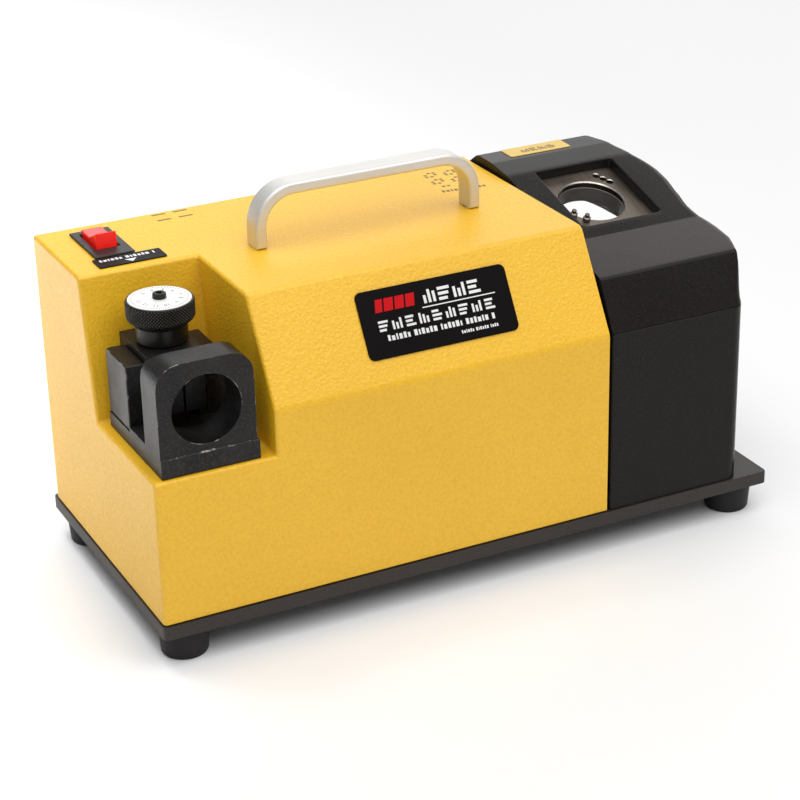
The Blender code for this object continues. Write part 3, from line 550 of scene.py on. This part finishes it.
def lathe(work, profile, steps, place=None, shape=None):
    """Adds a closed turned shape: (radius, height) points, first and last on the axis.

    shape(angle, row, radius, height) may change the radius at each point.
    """
    place = place or Matrix.Identity(4)
    rings = []
    for row, (radius, height) in enumerate(profile):
        if radius == 0:
            rings.append([work.verts.new(place @ Vector((0, 0, height)))])
            continue
        ring = []
        for step in range(steps):
            angle = 2 * math.pi * step / steps
            reach = shape(angle, row, radius, height) if shape else radius
            spot = Vector((reach * math.cos(angle), reach * math.sin(angle), height))
            ring.append(work.verts.new(place @ spot))
        rings.append(ring)
    for lower, upper in zip(rings, rings[1:]):
        for step in range(steps):
            after = (step + 1) % steps
            below = (lower[step % len(lower)], lower[after % len(lower)])
            over = (upper[after % len(upper)], upper[step % len(upper)])
            new_face(work, below + over)
    return work


def temporary(work, name):
    """An object for carve to cut with, made of a shape in millimetres."""
    cutter = bpy.data.objects.new(name, mesh_of(in_metres(work), name))
    bpy.context.scene.collection.objects.link(cutter)
    return cutter


def carve(mesh, cutters):
    """The mesh with the cutters' shapes taken out; the cutters are used up."""
    host = bpy.data.objects.new("host", mesh)
    bpy.context.scene.collection.objects.link(host)
    for cutter in cutters:
        modifier = host.modifiers.new("cut", "BOOLEAN")
        modifier.operation = "DIFFERENCE"
        modifier.solver = "EXACT"
        modifier.object = cutter
    graph = bpy.context.evaluated_depsgraph_get()
    carved = bpy.data.meshes.new_from_object(host.evaluated_get(graph))
    for used in [host, *cutters]:
        bpy.data.objects.remove(used, do_unlink=True)
    return carved


# ---------------------------------------------------------------- housing and covers

HOUSING = {"left": -159.3, "right": 68.0, "front": -73.9, "back": 71.5, "top": 158.4}
LEDGE_Z = 91.1
LEDGE_RIGHT = -101.8
# y, z of the lower and upper end of the long slope and of the recess's leaning back wall
SLOPE = ((HOUSING["front"], 112.8), (-47.0, HOUSING["top"]))
WALL = ((-2.2, LEDGE_Z), (8.2, HOUSING["top"]))
BEND = 1.7
SHEET = 1.6


def housing_planes():
    """(point, normal) of the housing's outer faces, in the CAD's (x, y, z)."""
    h = HOUSING
    leaning = []
    for low, high in (SLOPE, WALL):
        normal = Vector((0.0, low[1] - high[1], high[0] - low[0])).normalized()
        leaning.append((Vector((0.0, *high)), normal))
    return [
        (Vector((0, h["front"], 0)), Vector((0, -1, 0))),
        (Vector((0, h["back"], 0)), Vector((0, 1, 0))),
        (Vector((0, 0, h["top"])), Vector((0, 0, 1))),
        (Vector((h["left"], 0, 0)), Vector((-1, 0, 0))),
        (Vector((LEDGE_RIGHT, 0, 0)), Vector((-1, 0, 0))),
        (Vector((0, 0, LEDGE_Z)), Vector((0, 0, 1))),
        *leaning,
    ]


def make_housing():
    """The yellow housing as one bent sheet with round bends."""
    work = cad_copy("main_housing")
    planes = housing_planes()
    off_plane, same_way = 0.06, 0.995

    def is_outer(face):
        centre = face.calc_center_median()
        return any(
            abs((centre - point).dot(normal)) < off_plane and face.normal.dot(normal) > same_way
            for point, normal in planes
        )

    inner = [face for face in work.faces if not is_outer(face)]
    bmesh.ops.delete(work, geom=inner, context="FACES")
    bevel_edges(work, BEND, 4, 15.0)
    mesh = mesh_of_open(work)
    piece = add_piece("housing_sheet", mesh, ["yellow_paint"], "machine", ("main_housing",), sharp=50.0)
    skin = piece.modifiers.new("sheet", "SOLIDIFY")
    skin.thickness = SHEET * MM
    skin.offset = -1.0
    skin.use_even_offset = True
    piece.modifiers.move(len(piece.modifiers) - 1, 0)
    return piece


def mesh_of_open(work):
    """Keeps the faces' own directions, because an open sheet has no inside."""
    in_metres(work)
    mesh = bpy.data.meshes.new("sheet")
    work.to_mesh(mesh)
    work.free()
    return mesh


COVER = {"left": 69.8, "right": 144.5, "front": -73.7, "back": 73.0, "low": 21.3, "high": 112.6}
SPINDLE_AT = (6.0, 80.0)
HOOD_FLOOR = 112.95
# y, z, radius of the crease
HOOD_CREASES = [
    (COVER["front"], HOOD_FLOOR, 0.0),
    (-61.5, 136.7, 3.2),
    (-30.5, 144.4, 40.0),
    (27.0, 160.6, 30.0),
    (42.0, 162.6, 6.0),
    (57.5, 162.8, 8.0),
    (COVER["back"], 152.0, 9.0),
    (COVER["back"], HOOD_FLOOR, 0.0),
]
# y, right end x, radius where the top rolls over into the right side
HOOD_END = [
    (COVER["front"], COVER["right"], 7.0),
    (-61.5, 146.4, 1.6),
    (-50.0, 150.2, 3.5),
    (-43.0, 150.5, 5.0),
    (-35.0, 149.2, 5.0),
    (-28.0, 146.8, 5.0),
    (-20.0, 146.2, 5.0),
    (-10.0, 147.5, 5.0),
    (3.0, 148.9, 5.0),
    (12.0, 148.6, 5.0),
    (21.0, 146.2, 5.0),
    (27.0, 143.6, 5.0),
    (42.0, 139.6, 4.0),
    (57.5, 137.0, 5.0),
    (COVER["back"], 137.0, 5.0),
]
# z where the back of the hood has drawn in from the cover's right side to the last end above
HOOD_DRAWN_IN = 150.0
HOOD_STEP_LENGTH = 5.0
# x where the crowned right end begins
HOOD_TURN = 128.0


def hood_end(y, z):
    """Right end and roll-over radius of the hood at a point of its section."""

    def between(low, high, share):
        return tuple(low[column] + (high[column] - low[column]) * share for column in (1, 2))

    if y > COVER["back"] - 0.1:
        return between(HOOD_END[0], HOOD_END[-1], min(1.0, (z - HOOD_FLOOR) / (HOOD_DRAWN_IN - HOOD_FLOOR)))
    for low, high in zip(HOOD_END, HOOD_END[1:]):
        if y <= high[0]:
            share = (y - low[0]) / (high[0] - low[0])
            return between(low, high, share * share * (3 - 2 * share))
    return HOOD_END[-1][1:]


def hood_line(soft=True, steps=6):
    """The hood's section as (y, z), long stretches divided and, if soft, the creases rounded."""
    shortest, longest = 0.6, 7.0
    corners = []
    for index, (y, z, radius) in enumerate(HOOD_CREASES):
        here = Vector((y, z))
        if not radius or not soft:
            corners.append(here)
            continue
        before = Vector(HOOD_CREASES[index - 1][:2]) - here
        after = Vector(HOOD_CREASES[index + 1][:2]) - here
        turn = math.pi - before.angle(after)
        reach = min(max(radius * math.tan(turn / 2), shortest), longest)
        first, last = here + before.normalized() * reach, here + after.normalized() * reach
        for step in range(steps + 1):
            t = step / steps
            corners.append(first * (1 - t) ** 2 + here * 2 * t * (1 - t) + last * t * t)
    line = [corners[0]]
    for here in corners[1:]:
        gap = here - line[-1]
        parts = max(1, math.ceil(gap.length / HOOD_STEP_LENGTH))
        start = line[-1]
        line += [start + gap * part / parts for part in range(1, parts + 1)]
    return line


def hood_mesh(inset):
    """Closed hood block; inset makes it smaller on every side."""
    line = hood_line(not inset)
    outline = list(reversed([Vector(p) for p in inset_outline([tuple(p) for p in reversed(line)], inset)]))
    if inset:
        outline[0].y = outline[-1].y = HOOD_FLOOR - 1.0
    work = bmesh.new()
    stations = (COVER["left"] + inset, COVER["left"] + inset + 1.0, HOOD_TURN - inset)
    columns = [[work.verts.new((x, spot.x, spot.y)) for spot in outline] for x in stations]
    for turn in [math.radians(90.0 * step / 6) for step in range(7)]:
        column = []
        for index, spot in enumerate(outline):
            right, radius = hood_end(line[index].x, line[index].y)
            normal = outline_normal(outline, index)
            if index in (0, len(outline) - 1):
                normal = Vector((math.copysign(1.0, normal.x), 0.0))
            place = spot - normal * radius * (1 - math.cos(turn))
            x = right - inset - radius * (1 - math.sin(turn))
            column.append(work.verts.new((x, place.x, place.y)))
        columns.append(column)
    for left, right in zip(columns, columns[1:]):
        for index in range(len(outline) - 1):
            work.faces.new((left[index], right[index], right[index + 1], left[index + 1]))
        if right is not columns[-1]:
            work.faces.new((left[-1], right[-1], right[0], left[0]))
    work.faces.new(columns[0])
    foot = hood_side(work, columns[-1])
    work.faces.new((columns[-2][-1], columns[-1][-1], *reversed(foot), columns[-1][0], columns[-2][0]))
    return work


def hood_side(work, ring):
    """Hangs the right side wall from its upper ring, flaring at the top; gives its lower edge."""
    first, last = ring[0].co, ring[-1].co
    count = len(ring) - 1
    rows = [ring]
    for level in (0.7, 0.35, 0.0):
        row = [ring[0]]
        for index, point in enumerate(ring[1:-1], 1):
            foot = first.lerp(last, index / count)
            x = foot.x + (point.co.x - foot.x) * level * level
            place = foot.lerp(point.co, level)
            row.append(work.verts.new((x, place.y, place.z)))
        rows.append([*row, ring[-1]])
    for upper, lower in zip(rows, rows[1:]):
        for index in range(count):
            new_face(work, (upper[index], lower[index], lower[index + 1], upper[index + 1]))
    return rows[-1][1:-1]


def outline_normal(outline, index):
    """Outward direction of an open outline at one of its points."""
    before = outline[max(index - 1, 0)]
    after = outline[min(index + 1, len(outline) - 1)]
    along = (after - before).normalized()
    return Vector((-along.y, along.x))


PORT_X = 105.6
PORT_ALONG = 33.5
WINDOW_SHIFT = (1.0, 0.2)
WINDOW_HALF = (21.7, 24.4)
BORE_SHIFT = (-1.2, 0.3)
BORE_RADIUS = 16.4
BORE_STEPS = 96
PORT_DEPTH = 5.0


def slope_frame(shift=(0.0, 0.0)):
    """Matrix of the window slope's own frame: x along X, y up the slope, z out of it."""
    step, top = (Vector(crease[:2]) for crease in HOOD_CREASES[2:4])
    along = (top - step).normalized()
    return leaning_frame(PORT_X, step + along * PORT_ALONG, along) @ Matrix.Translation((*shift, 0.0))


def leaning_frame(x, origin, along):
    """Matrix of a sloping face: x along X, y up the slope from origin (y, z), z out of the face."""
    return Matrix(
        ((1, 0, 0, x), (0, along.x, -along.y, origin.x), (0, along.y, along.x, origin.y), (0, 0, 0, 1))
    )


def rear_notch():
    """Cutter for the notch across the rear right corner, between hood and cover."""
    work = bmesh.new()
    bmesh.ops.create_cube(work, size=1.0)
    low, high = Vector((104.0, 30.0, 106.0)), Vector((160.0, 90.0, 122.5))
    bmesh.ops.scale(work, vec=high - low, verts=work.verts)
    bmesh.ops.translate(work, vec=(low + high) / 2, verts=work.verts)
    return temporary(work, "notch")


def window_outline(grow):
    half_x, half_y = WINDOW_HALF
    low, high = (-half_x - grow, -half_y - grow), (half_x + grow, half_y + grow)
    return rounded_rectangle(low, high, 1.6 + grow)


def make_hood():
    """The hood's shell with its window, and the collar inside the window."""
    hollow = temporary(hood_mesh(2.5), "hollow")
    window = bmesh.new()
    # inset and height: straight through the wall, flared at the upper edge
    rows = [(0.0, -20.0), (0.0, -0.8), (-0.25, -0.25), (-0.8, 0.0), (-0.8, 20.0)]
    stack(window, window_outline(0.0), rows, slope_frame(WINDOW_SHIFT))
    mesh = mesh_of(in_metres(hood_mesh(0.0)), "hood_block")
    mesh = carve(mesh, [hollow, temporary(window, "window"), rear_notch()])
    # the third paint is the lighter black for the front facet, a painted sheen
    paints = ["black_paint", "gasket", "facet_paint"]
    add_piece("hood_shell", mesh, paints, "machine", ("wheel_hood",), sharp=40.0)
    paint_hood_faces(mesh)
    collar = bmesh.new()
    low, high = 0.3 - PORT_DEPTH, -2.3
    tube(collar, window_outline(2.5), window_outline(0.0), low, high, slope_frame(WINDOW_SHIFT), 0.05)
    mesh = mesh_of(in_metres(collar), "collar")
    add_piece("window_collar", mesh, ["gasket"], "machine")


def paint_hood_faces(mesh):
    """Gives the window's wall the gasket's paint (slot 1) and the front facet, as painted sheen, a lighter
    copy of the black paint (slot 2).
    """
    back = slope_frame(WINDOW_SHIFT).inverted()
    half_x, half_y = (half + 0.2 for half in WINDOW_HALF)
    wall_low, wall_high = -4.0, -0.7
    facet_front, facet_back, facet_low = -61.0, -31.0, 135.0
    for face in mesh.polygons:
        middle = face.center / MM
        spot = back @ middle
        if abs(spot.x) < half_x and abs(spot.y) < half_y and wall_low < spot.z < wall_high:
            face.material_index = 1
        # painted sheen: the front facet gets the lighter black of slot 2
        if facet_front < middle.y < facet_back and middle.z > facet_low and face.normal.z > 0.5:
            face.material_index = 2


def tube(work, outer, inner, low, high, place, rim=0.5):
    """A ring between two outlines with as many points, its upper edges rounded."""
    outer_rows = [(outer, low), (outer, high - rim), (inset_outline(outer, rim), high)]
    inner_rows = [(inset_outline(inner, -rim), high), (inner, high - rim), (inner, low)]
    rings = []
    for outline, height in outer_rows + inner_rows:
        rings.append([work.verts.new(place @ Vector((p[0], p[1], height))) for p in outline])
    count = len(outer)
    for lower, upper in zip(rings, rings[1:] + rings[:1]):
        for index in range(count):
            after = (index + 1) % count
            work.faces.new((lower[index], lower[after], upper[after], upper[index]))


def make_wheel_cover():
    """Lower box, its right corners rounded, open at the top and bottom."""
    work = bmesh.new()
    tube(work, cover_outline(0.0), cover_outline(2.0), COVER["low"], COVER["high"], Matrix.Identity(4), 0.35)
    mesh = mesh_of(in_metres(work), "cover")
    bore = bmesh.new()
    bmesh.ops.create_cone(bore, cap_ends=True, segments=40, radius1=20.0, radius2=20.0, depth=20.0)
    along_x = Matrix.Rotation(math.pi / 2, 4, "Y")
    place = Matrix.Translation((HOUSING["right"], *SPINDLE_AT)) @ along_x
    bmesh.ops.transform(bore, matrix=place, verts=bore.verts)
    mesh = carve(mesh, [temporary(bore, "bore"), rear_notch()])
    add_piece("cover_shell", mesh, ["black_paint"], "machine", ("wheel_cover",), sharp=40.0)


def cover_outline(inset):
    left, right = COVER["left"] + inset, COVER["right"] - inset
    front, back = COVER["front"] + inset, COVER["back"] - inset
    small, large = 1.2, 7.0 - inset
    return [
        *arc((right - large, front + large), large, -90, 0, 10),
        *arc((right - large, back - large), large, 0, 90, 10),
        *arc((left + small, back - small), small, 90, 180, 3),
        *arc((left + small, front + small), small, 180, 270, 3),
    ]


def make_port_plate():
    """The plate in the window with its bore and three small holes, their chamfered rims painted bright steel
    as a painted highlight.
    """
    work = bmesh.new()
    plate_outline = rounded_rectangle((-26.0, -30.0), (28.0, 30.0), 1.0, 3)
    prism(work, plate_outline, -8.0, -PORT_DEPTH, slope_frame())
    cutters = []
    spots = [(BORE_SHIFT, BORE_RADIUS, BORE_STEPS, 0.55)]
    spots += [((12.1 + 2.05 * i, 19.3 - 3.45 * i), 1.75, 20, 0.35) for i in range(3)]
    for spot, radius, steps, chamfer in spots:
        hole = bmesh.new()
        low, top, high = -12.0, -PORT_DEPTH, -PORT_DEPTH + 3.0
        wide = radius + chamfer
        profile = [(0.0, low), (radius, low), (radius, top - chamfer), (wide, top), (wide, high), (0.0, high)]
        lathe(hole, profile, steps, slope_frame(spot))
        cutters.append(temporary(hole, "hole"))
    mesh = carve(mesh_of(in_metres(work), "plate"), cutters)
    paints = ["port_steel", "edge_steel"]
    piece = add_piece("port_plate_fine", mesh, paints, "machine", ("port_plate",), sharp=25.0)
    # painted highlight: the chamfer faces round the holes get the bright steel of slot 1
    outward = slope_frame().to_3x3() @ Vector((0, 0, 1))
    for face in piece.data.polygons:
        tilt = face.normal.dot(outward)
        if 0.4 < tilt < 0.95 and len(face.vertices) < 8:
            face.material_index = 1


def make_port_sleeve():
    sleeve = bmesh.new()
    top = -8.3
    last = 360 - 360 / BORE_STEPS
    ring_outline = arc((0, 0), 18.6, 0, last, BORE_STEPS - 1)
    bore_outline = arc((0, 0), BORE_RADIUS, 0, last, BORE_STEPS - 1)
    tube(sleeve, ring_outline, bore_outline, top - 8.0, top, slope_frame(BORE_SHIFT), 0.3)
    fine_piece(sleeve, "port_sleeve", ["sleeve_steel"])


def make_stop_pins():
    """Two stepped pins at the rim of the bore, each at its angle in degrees."""
    reach = 18.5
    for node, angle in (("stop_pin_l", 210.5), ("stop_pin_r", 231.5)):
        spot = (
            BORE_SHIFT[0] + reach * math.cos(math.radians(angle)),
            BORE_SHIFT[1] + reach * math.sin(math.radians(angle)),
        )
        pin = bmesh.new()
        top = -PORT_DEPTH
        profile = [
            (0.0, top + 4.2), (0.8, top + 4.1), (1.15, top + 3.7), (1.15, top + 2.3), (1.5, top + 2.2),
            (1.9, top + 1.9), (1.9, top + 0.3), (1.0, top + 0.3), (1.0, top - 3.0), (0.0, top - 3.0),
        ]
        lathe(pin, profile, 24, slope_frame(spot))
        fine_piece(pin, node, ["pin_steel"])


# ---------------------------------------------------------------- base and feet


PLATE_UNDERSIDE = 14.2


def above_floor(node, height):
    """Frame over the middle of a node, at a height above the floor."""
    low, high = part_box(node)
    middle = (low + high) / 2 / MM
    return Matrix.Translation((middle.x, middle.y, height))


def make_base():
    """The plate, its four feet with their screws, and the screws under its front edge."""
    refine("base_plate", 0.7, ["plate_paint"], 3)
    seat = 5.9
    head_down = Matrix.Rotation(math.pi, 4, "X")
    profile = [
        (0.0, 6.0), (5.4, 6.0), (5.4, 0.4), (5.9, 0.0), (9.4, 0.0), (10.3, 0.3), (10.8, 1.1), (11.6, 11.0),
        (11.9, 13.4), (11.6, 14.1), (11.2, PLATE_UNDERSIDE), (0.0, PLATE_UNDERSIDE),
    ]
    for corner in ("front_left", "front_right", "rear_left", "rear_right"):
        foot = "foot_" + corner
        work = bmesh.new()
        lathe(work, profile, 56, above_floor(foot, 0.0))
        fine_piece(work, foot, ["foot_rubber"])
        work = bmesh.new()
        cap_head(work, above_floor(foot, seat) @ head_down, 4.6, 3.4)
        fine_piece(work, "foot_screw_" + corner, ["bright_steel"])
    for index in range(3):
        node = f"plate_screw_{index + 1}"
        work = bmesh.new()
        cap_head(work, above_floor(node, PLATE_UNDERSIDE) @ head_down, 3.6, 2.6)
        fine_piece(work, node, ["black_steel"])


def cap_head(work, place, radius, height):
    """A round socket-screw head standing on its seat, with a hexagonal socket."""
    socket = radius * 0.52

    def hexagon(angle, row, reach, _):
        if row not in (1, 2):
            return reach
        side = math.pi / 3
        return socket * math.cos(side / 2) / math.cos((angle + side / 2) % side - side / 2)

    shank, shank_end = radius * 0.55, -3.0
    profile = [
        (0.0, height * 0.35), (socket, height * 0.35), (socket, height), (socket + 0.25, height),
        (radius - 0.5, height), (radius - 0.1, height - 0.25), (radius, height - 0.6), (radius, 0.0),
        (shank, 0.0), (shank, shank_end), (0.0, shank_end),
    ]
    return lathe(work, profile, 36, place, hexagon)


# ---------------------------------------------------------------- setting device


def make_setting_device():
    worn = ["black_steel", "worn_edge"]
    refine("setting_bracket", 0.4, worn, 2, 40.0, wear=True)
    for node in ("guide_block_left", "guide_block_right"):
        refine(node, 0.3, worn, 2, 20.0, wear=True)
    refine("setting_channel", 0.35, worn, 2, 40.0, wear=True)
    for node in ("setting_jaw_left", "setting_jaw_right"):
        refine(node, 0.3, ["black_steel"], 2, 40.0)
    make_knob()
    make_dial()


def make_knob():
    """The knob with a crossed knurl cut into its rim, and the screw in its middle."""
    rim = [(145.1 + 6.9 * row / 18) for row in range(19)]
    profile = [(0.0, 133.6), (11.3, 133.6), (11.8, 134.1), (11.8, 141.2), (12.1, 141.8), (14.9, 144.1)]
    first_rim = len(profile)
    profile += [(15.6, height) for height in rim]
    last_rim = len(profile) - 1
    profile += [(15.1, 152.7), (14.8, 152.9), (14.55, 152.85), (14.5, 152.3), (0.0, 152.3)]

    def knurl(angle, row, radius, height):
        if not first_rim <= row <= last_rim:
            return radius
        turns = angle * KNURL_LINES / (2 * math.pi)
        rise = height * KNURL_LINES / (2 * math.pi * KNURL_RADIUS)
        one, two = abs((turns + rise) % 1 - 0.5), abs((turns - rise) % 1 - 0.5)
        return radius - 0.35 * (1 - 2 * min(one, two))

    work = bmesh.new()
    lathe(work, profile, 496, Matrix.Translation((*KNOB_AT, 0.0)), knurl)
    fine_piece(work, "setting_knob", ["knob_steel"], "knob_fine", sharp=60.0)
    work = bmesh.new()
    cap_head(work, Matrix.Translation((*KNOB_AT, 153.3)), 3.1, 2.3)
    fine_piece(work, "knob_screw", ["black_steel"])


def make_dial():
    """The white disc and the numbers printed on it."""
    work = bmesh.new()
    profile = [(0.0, 152.4), (14.2, 152.4), (14.3, 152.6), (14.3, 152.95), (14.1, 153.1), (0.0, 153.1)]
    lathe(work, profile, 96, Matrix.Translation((*KNOB_AT, 0.0)))
    fine_piece(work, "dial_disc", ["dial_face"], "dial_fine")
    printed = bmesh.new()
    first_number, first_angle, step = 3, 120.0, 30.0
    for index in range(11):
        angle = math.radians(first_angle - index * step)
        place = Matrix.Translation((*KNOB_AT, 153.11)) @ Matrix.Rotation(angle - math.pi / 2, 4, "Z")
        add_text(printed, str(first_number + index), 3.1, place @ Matrix.Translation((0.0, 9.4, 0.0)))
    mesh = mesh_of(in_metres(printed), "numbers")
    add_piece("dial_numbers", mesh, ["print_grey"], "knob")


def add_text(work, words, height, place):
    """Flat digits as thin solids, centred, in millimetres."""
    curve = bpy.data.curves.new("digits", "FONT")
    curve.body = words
    curve.size = height
    curve.align_x = "CENTER"
    curve.align_y = "CENTER"
    curve.extrude = 0.02
    curve.resolution_u = 3
    holder = bpy.data.objects.new("digits", curve)
    bpy.context.scene.collection.objects.link(holder)
    graph = bpy.context.evaluated_depsgraph_get()
    mesh = bpy.data.meshes.new_from_object(holder.evaluated_get(graph))
    mesh.transform(place)
    work.from_mesh(mesh)
    bpy.data.objects.remove(holder, do_unlink=True)


# ---------------------------------------------------------------- handle and switch


def handle_outline():
    """The bar with its two round corners, anticlockwise."""
    left, right, low, top, thick, radius = -76.4, 39.2, 158.7, 187.9, 5.5, 20.0
    inner = radius - thick
    return [
        (left, low),
        (left + thick, low),
        *reversed(arc((left + radius, top - radius), inner, 90, 180, 12)),
        *reversed(arc((right - radius, top - radius), inner, 0, 90, 12)),
        (right - thick, low),
        (right, low),
        *arc((right - radius, top - radius), radius, 0, 90, 14),
        *arc((left + radius, top - radius), radius, 90, 180, 14),
    ]


def upright(y):
    """Frame whose x is X, y is Z and z points to the front."""
    return Matrix(((1, 0, 0, 0), (0, 0, -1, y), (0, 1, 0, 0), (0, 0, 0, 1)))


def make_handle():
    work = bmesh.new()
    prism(work, handle_outline(), -6.3, 6.3, upright(4.4), rim=1.5, rim_steps=5)
    fine_piece(work, "carry_handle", ["handle_aluminium"], "handle_fine")


def make_switch():
    """The frame, rounded only where it shows, the rocker, and the power inlet on the back."""
    shown = HOUSING["top"] - 0.4
    work = cad_copy("switch_frame")
    bevel_edges(work, 0.5, 3, 60.0, lambda edge: all(v.co.z > shown for v in edge.verts))
    fine_piece(work, "switch_frame", ["black_plastic"])
    work = cad_copy("switch_rocker")
    bevel_edges(work, 0.5, 3, 10.0)
    fine_piece(work, "switch_rocker", ["red_plastic"], "rocker_fine")
    refine("power_inlet", 0.4, ["black_plastic"], 3, 60.0)


# ---------------------------------------------------------------- labels


def slope_plate_frame(low_corner, high_corner, x):
    """Frame on a sloping face from two (y, z) points of it: x along X from x, y up the slope."""
    low_corner, high_corner = Vector(low_corner), Vector(high_corner)
    return leaning_frame(x, low_corner, (high_corner - low_corner).normalized())


# places in a label's list of paints: its film and the two printing colours
FILM, PRINT, RED = 0, 1, 2
INK = 0.04


def bar(work, x0, y0, x1, y1, height, place, slot, lean=0.0):
    """A thin printed bar; lean slants it like italics."""
    before = len(work.faces)
    shift = lean * (y1 - y0)
    prism(work, [(x0, y0), (x1, y0), (x1 + shift, y1), (x0 + shift, y1)], height, height + INK, place)
    paint_from(work, before, slot)


def paint_from(work, first, slot):
    """Gives that paint to every face made since there were first faces."""
    work.faces.ensure_lookup_table()
    for face in work.faces[first:]:
        face.material_index = slot


def sign(work, x, y, size, kind, height, place, slot):
    """A small square mark of separate bars that spells nothing."""
    for index in range(3):
        low, high = index * 0.38 * size, (index * 0.38 + 0.22) * size
        if kind % 2:
            reach = size * (0.98, 0.7, 0.85)[(index + kind) % 3]
            bar(work, x, y + low, x + reach, y + high, height, place, slot)
        else:
            reach = size * (0.6, 0.98, 0.8)[(index + kind) % 3]
            bar(work, x + low, y, x + high, y + reach, height, place, slot)


def small_row(work, x0, x1, y, size, height, place, slot):
    """A row of small blocks of changing width, as a printed line of small type looks from afar."""
    x = x0
    index = 0
    while x < x1:
        width = size * (0.45, 0.6, 0.3, 0.55, 0.5)[index % 5]
        bar(work, x, y, x + width, y + size * (1.0, 0.8, 1.0, 0.9)[index % 4], height, place, slot)
        x += width + size * (0.75 if index % 6 == 5 else 0.25)
        index += 1


def make_name_plate():
    """The black plate on the slope, with bars and blocks where print would stand."""
    low, high = Vector(SLOPE[0]), Vector(SLOPE[1])
    along = (high - low).normalized()
    place = slope_plate_frame(low + along * 12.0, high, -52.5)
    plate = bmesh.new()
    outline = rounded_rectangle((0.0, 0.0), (75.8, 31.3), 3.0)
    prism(plate, outline, 0.3, 0.75, place, rim=0.15, rim_steps=2, both=False)
    top, lean = 0.76, 0.2
    bar(plate, 8.0, 20.8, 27.5, 26.6, top, place, RED, lean)
    for index in range(3):
        left = 5.4 * index
        bar(plate, 11.5 + left, 20.8, 12.3 + left, 26.6, top + INK, place, FILM, lean)
    for index in range(4):
        sign(plate, 32.5 + 7.6 * index, 20.6, 6.2, index, top, place, PRINT)
    bar(plate, 31.0, 18.7, 68.0, 19.2, top, place, PRINT)
    for index in range(9):
        sign(plate, 8.0 + 6.7 * index, 12.1, 4.9, index + 1, top, place, PRINT)
    small_row(plate, 11.0, 64.0, 7.4, 2.7, top, place, PRINT)
    small_row(plate, 47.0, 65.0, 3.7, 1.5, top, place, PRINT)
    fine_piece(plate, "name_plate", ["label_black", "print_white", "print_red"])


def make_setting_label():
    """The black label in front of the switch: one row of blocks and an arrow head."""
    work = bmesh.new()
    flat = Matrix.Translation((-146.9, 12.8, 158.7))
    prism(work, rounded_rectangle((0.0, 0.0), (32.5, 11.2), 0.8, 4), 0.0, 0.35, flat)
    top = 0.36
    small_row(work, 2.5, 29.5, 6.4, 2.6, top, flat, PRINT)
    before = len(work.faces)
    prism(work, [(16.3, 1.2), (19.2, 4.6), (13.4, 4.6)], top, 0.41, flat)
    paint_from(work, before, PRINT)
    fine_piece(work, "setting_label", ["label_black", "print_white"])


def make_top_prints():
    """Marks printed on the housing's top: a square pattern over a row, and four short bars."""
    work = bmesh.new()
    brown = 0  # the place of its only paint
    turned = Matrix.Rotation(math.radians(-6.0), 4, "Z")
    flat = Matrix.Translation((35.0, 34.0, HOUSING["top"])) @ turned
    pitch, width = 2.6, 1.7
    for row in range(9):
        for column in range(9):
            if (row * 5 + column * 3 + row * column) % 4 > 1:
                x, y = pitch * column, pitch * row
                bar(work, x, y, x + width, y + width, 0.0, flat, brown)
    small_row(work, 0.0, 23.0, -7.5, 3.0, 0.0, flat, brown)
    flat = Matrix.Translation((-101.5, 58.5, HOUSING["top"]))
    for x in (0.0, 11.0):
        for y in (0.0, 8.0):
            bar(work, x, y, x + 7.0, y + 1.5, 0.0, flat, brown)
    mesh = mesh_of(in_metres(work), "prints")
    add_piece("top_prints", mesh, ["print_brown"], "machine")


def make_hood_label():
    """The yellow label on the flat strip of the hood, with four signs."""
    work = bmesh.new()
    place = slope_plate_frame((45.0, 162.6), (57.5, 162.8), 82.4)
    prism(work, rounded_rectangle((0.0, 0.0), (34.5, 11.4), 1.2, 5), 0.0, 0.35, place)
    for index in range(4):
        sign(work, 8.5 + 5.0 * index, 3.0, 4.2, index + 2, 0.36, place, PRINT)
    fine_piece(work, "hood_label", ["label_yellow", "print_brown"])


make_camera()
make_light()
make_floor()
MATERIALS = make_materials()
dress_nodes(MATERIALS)
make_housing()
make_hood()
make_wheel_cover()
make_port_plate()
make_port_sleeve()
make_stop_pins()
make_base()
make_setting_device()
make_handle()
make_switch()
make_name_plate()
make_setting_label()
make_top_prints()
make_hood_label()
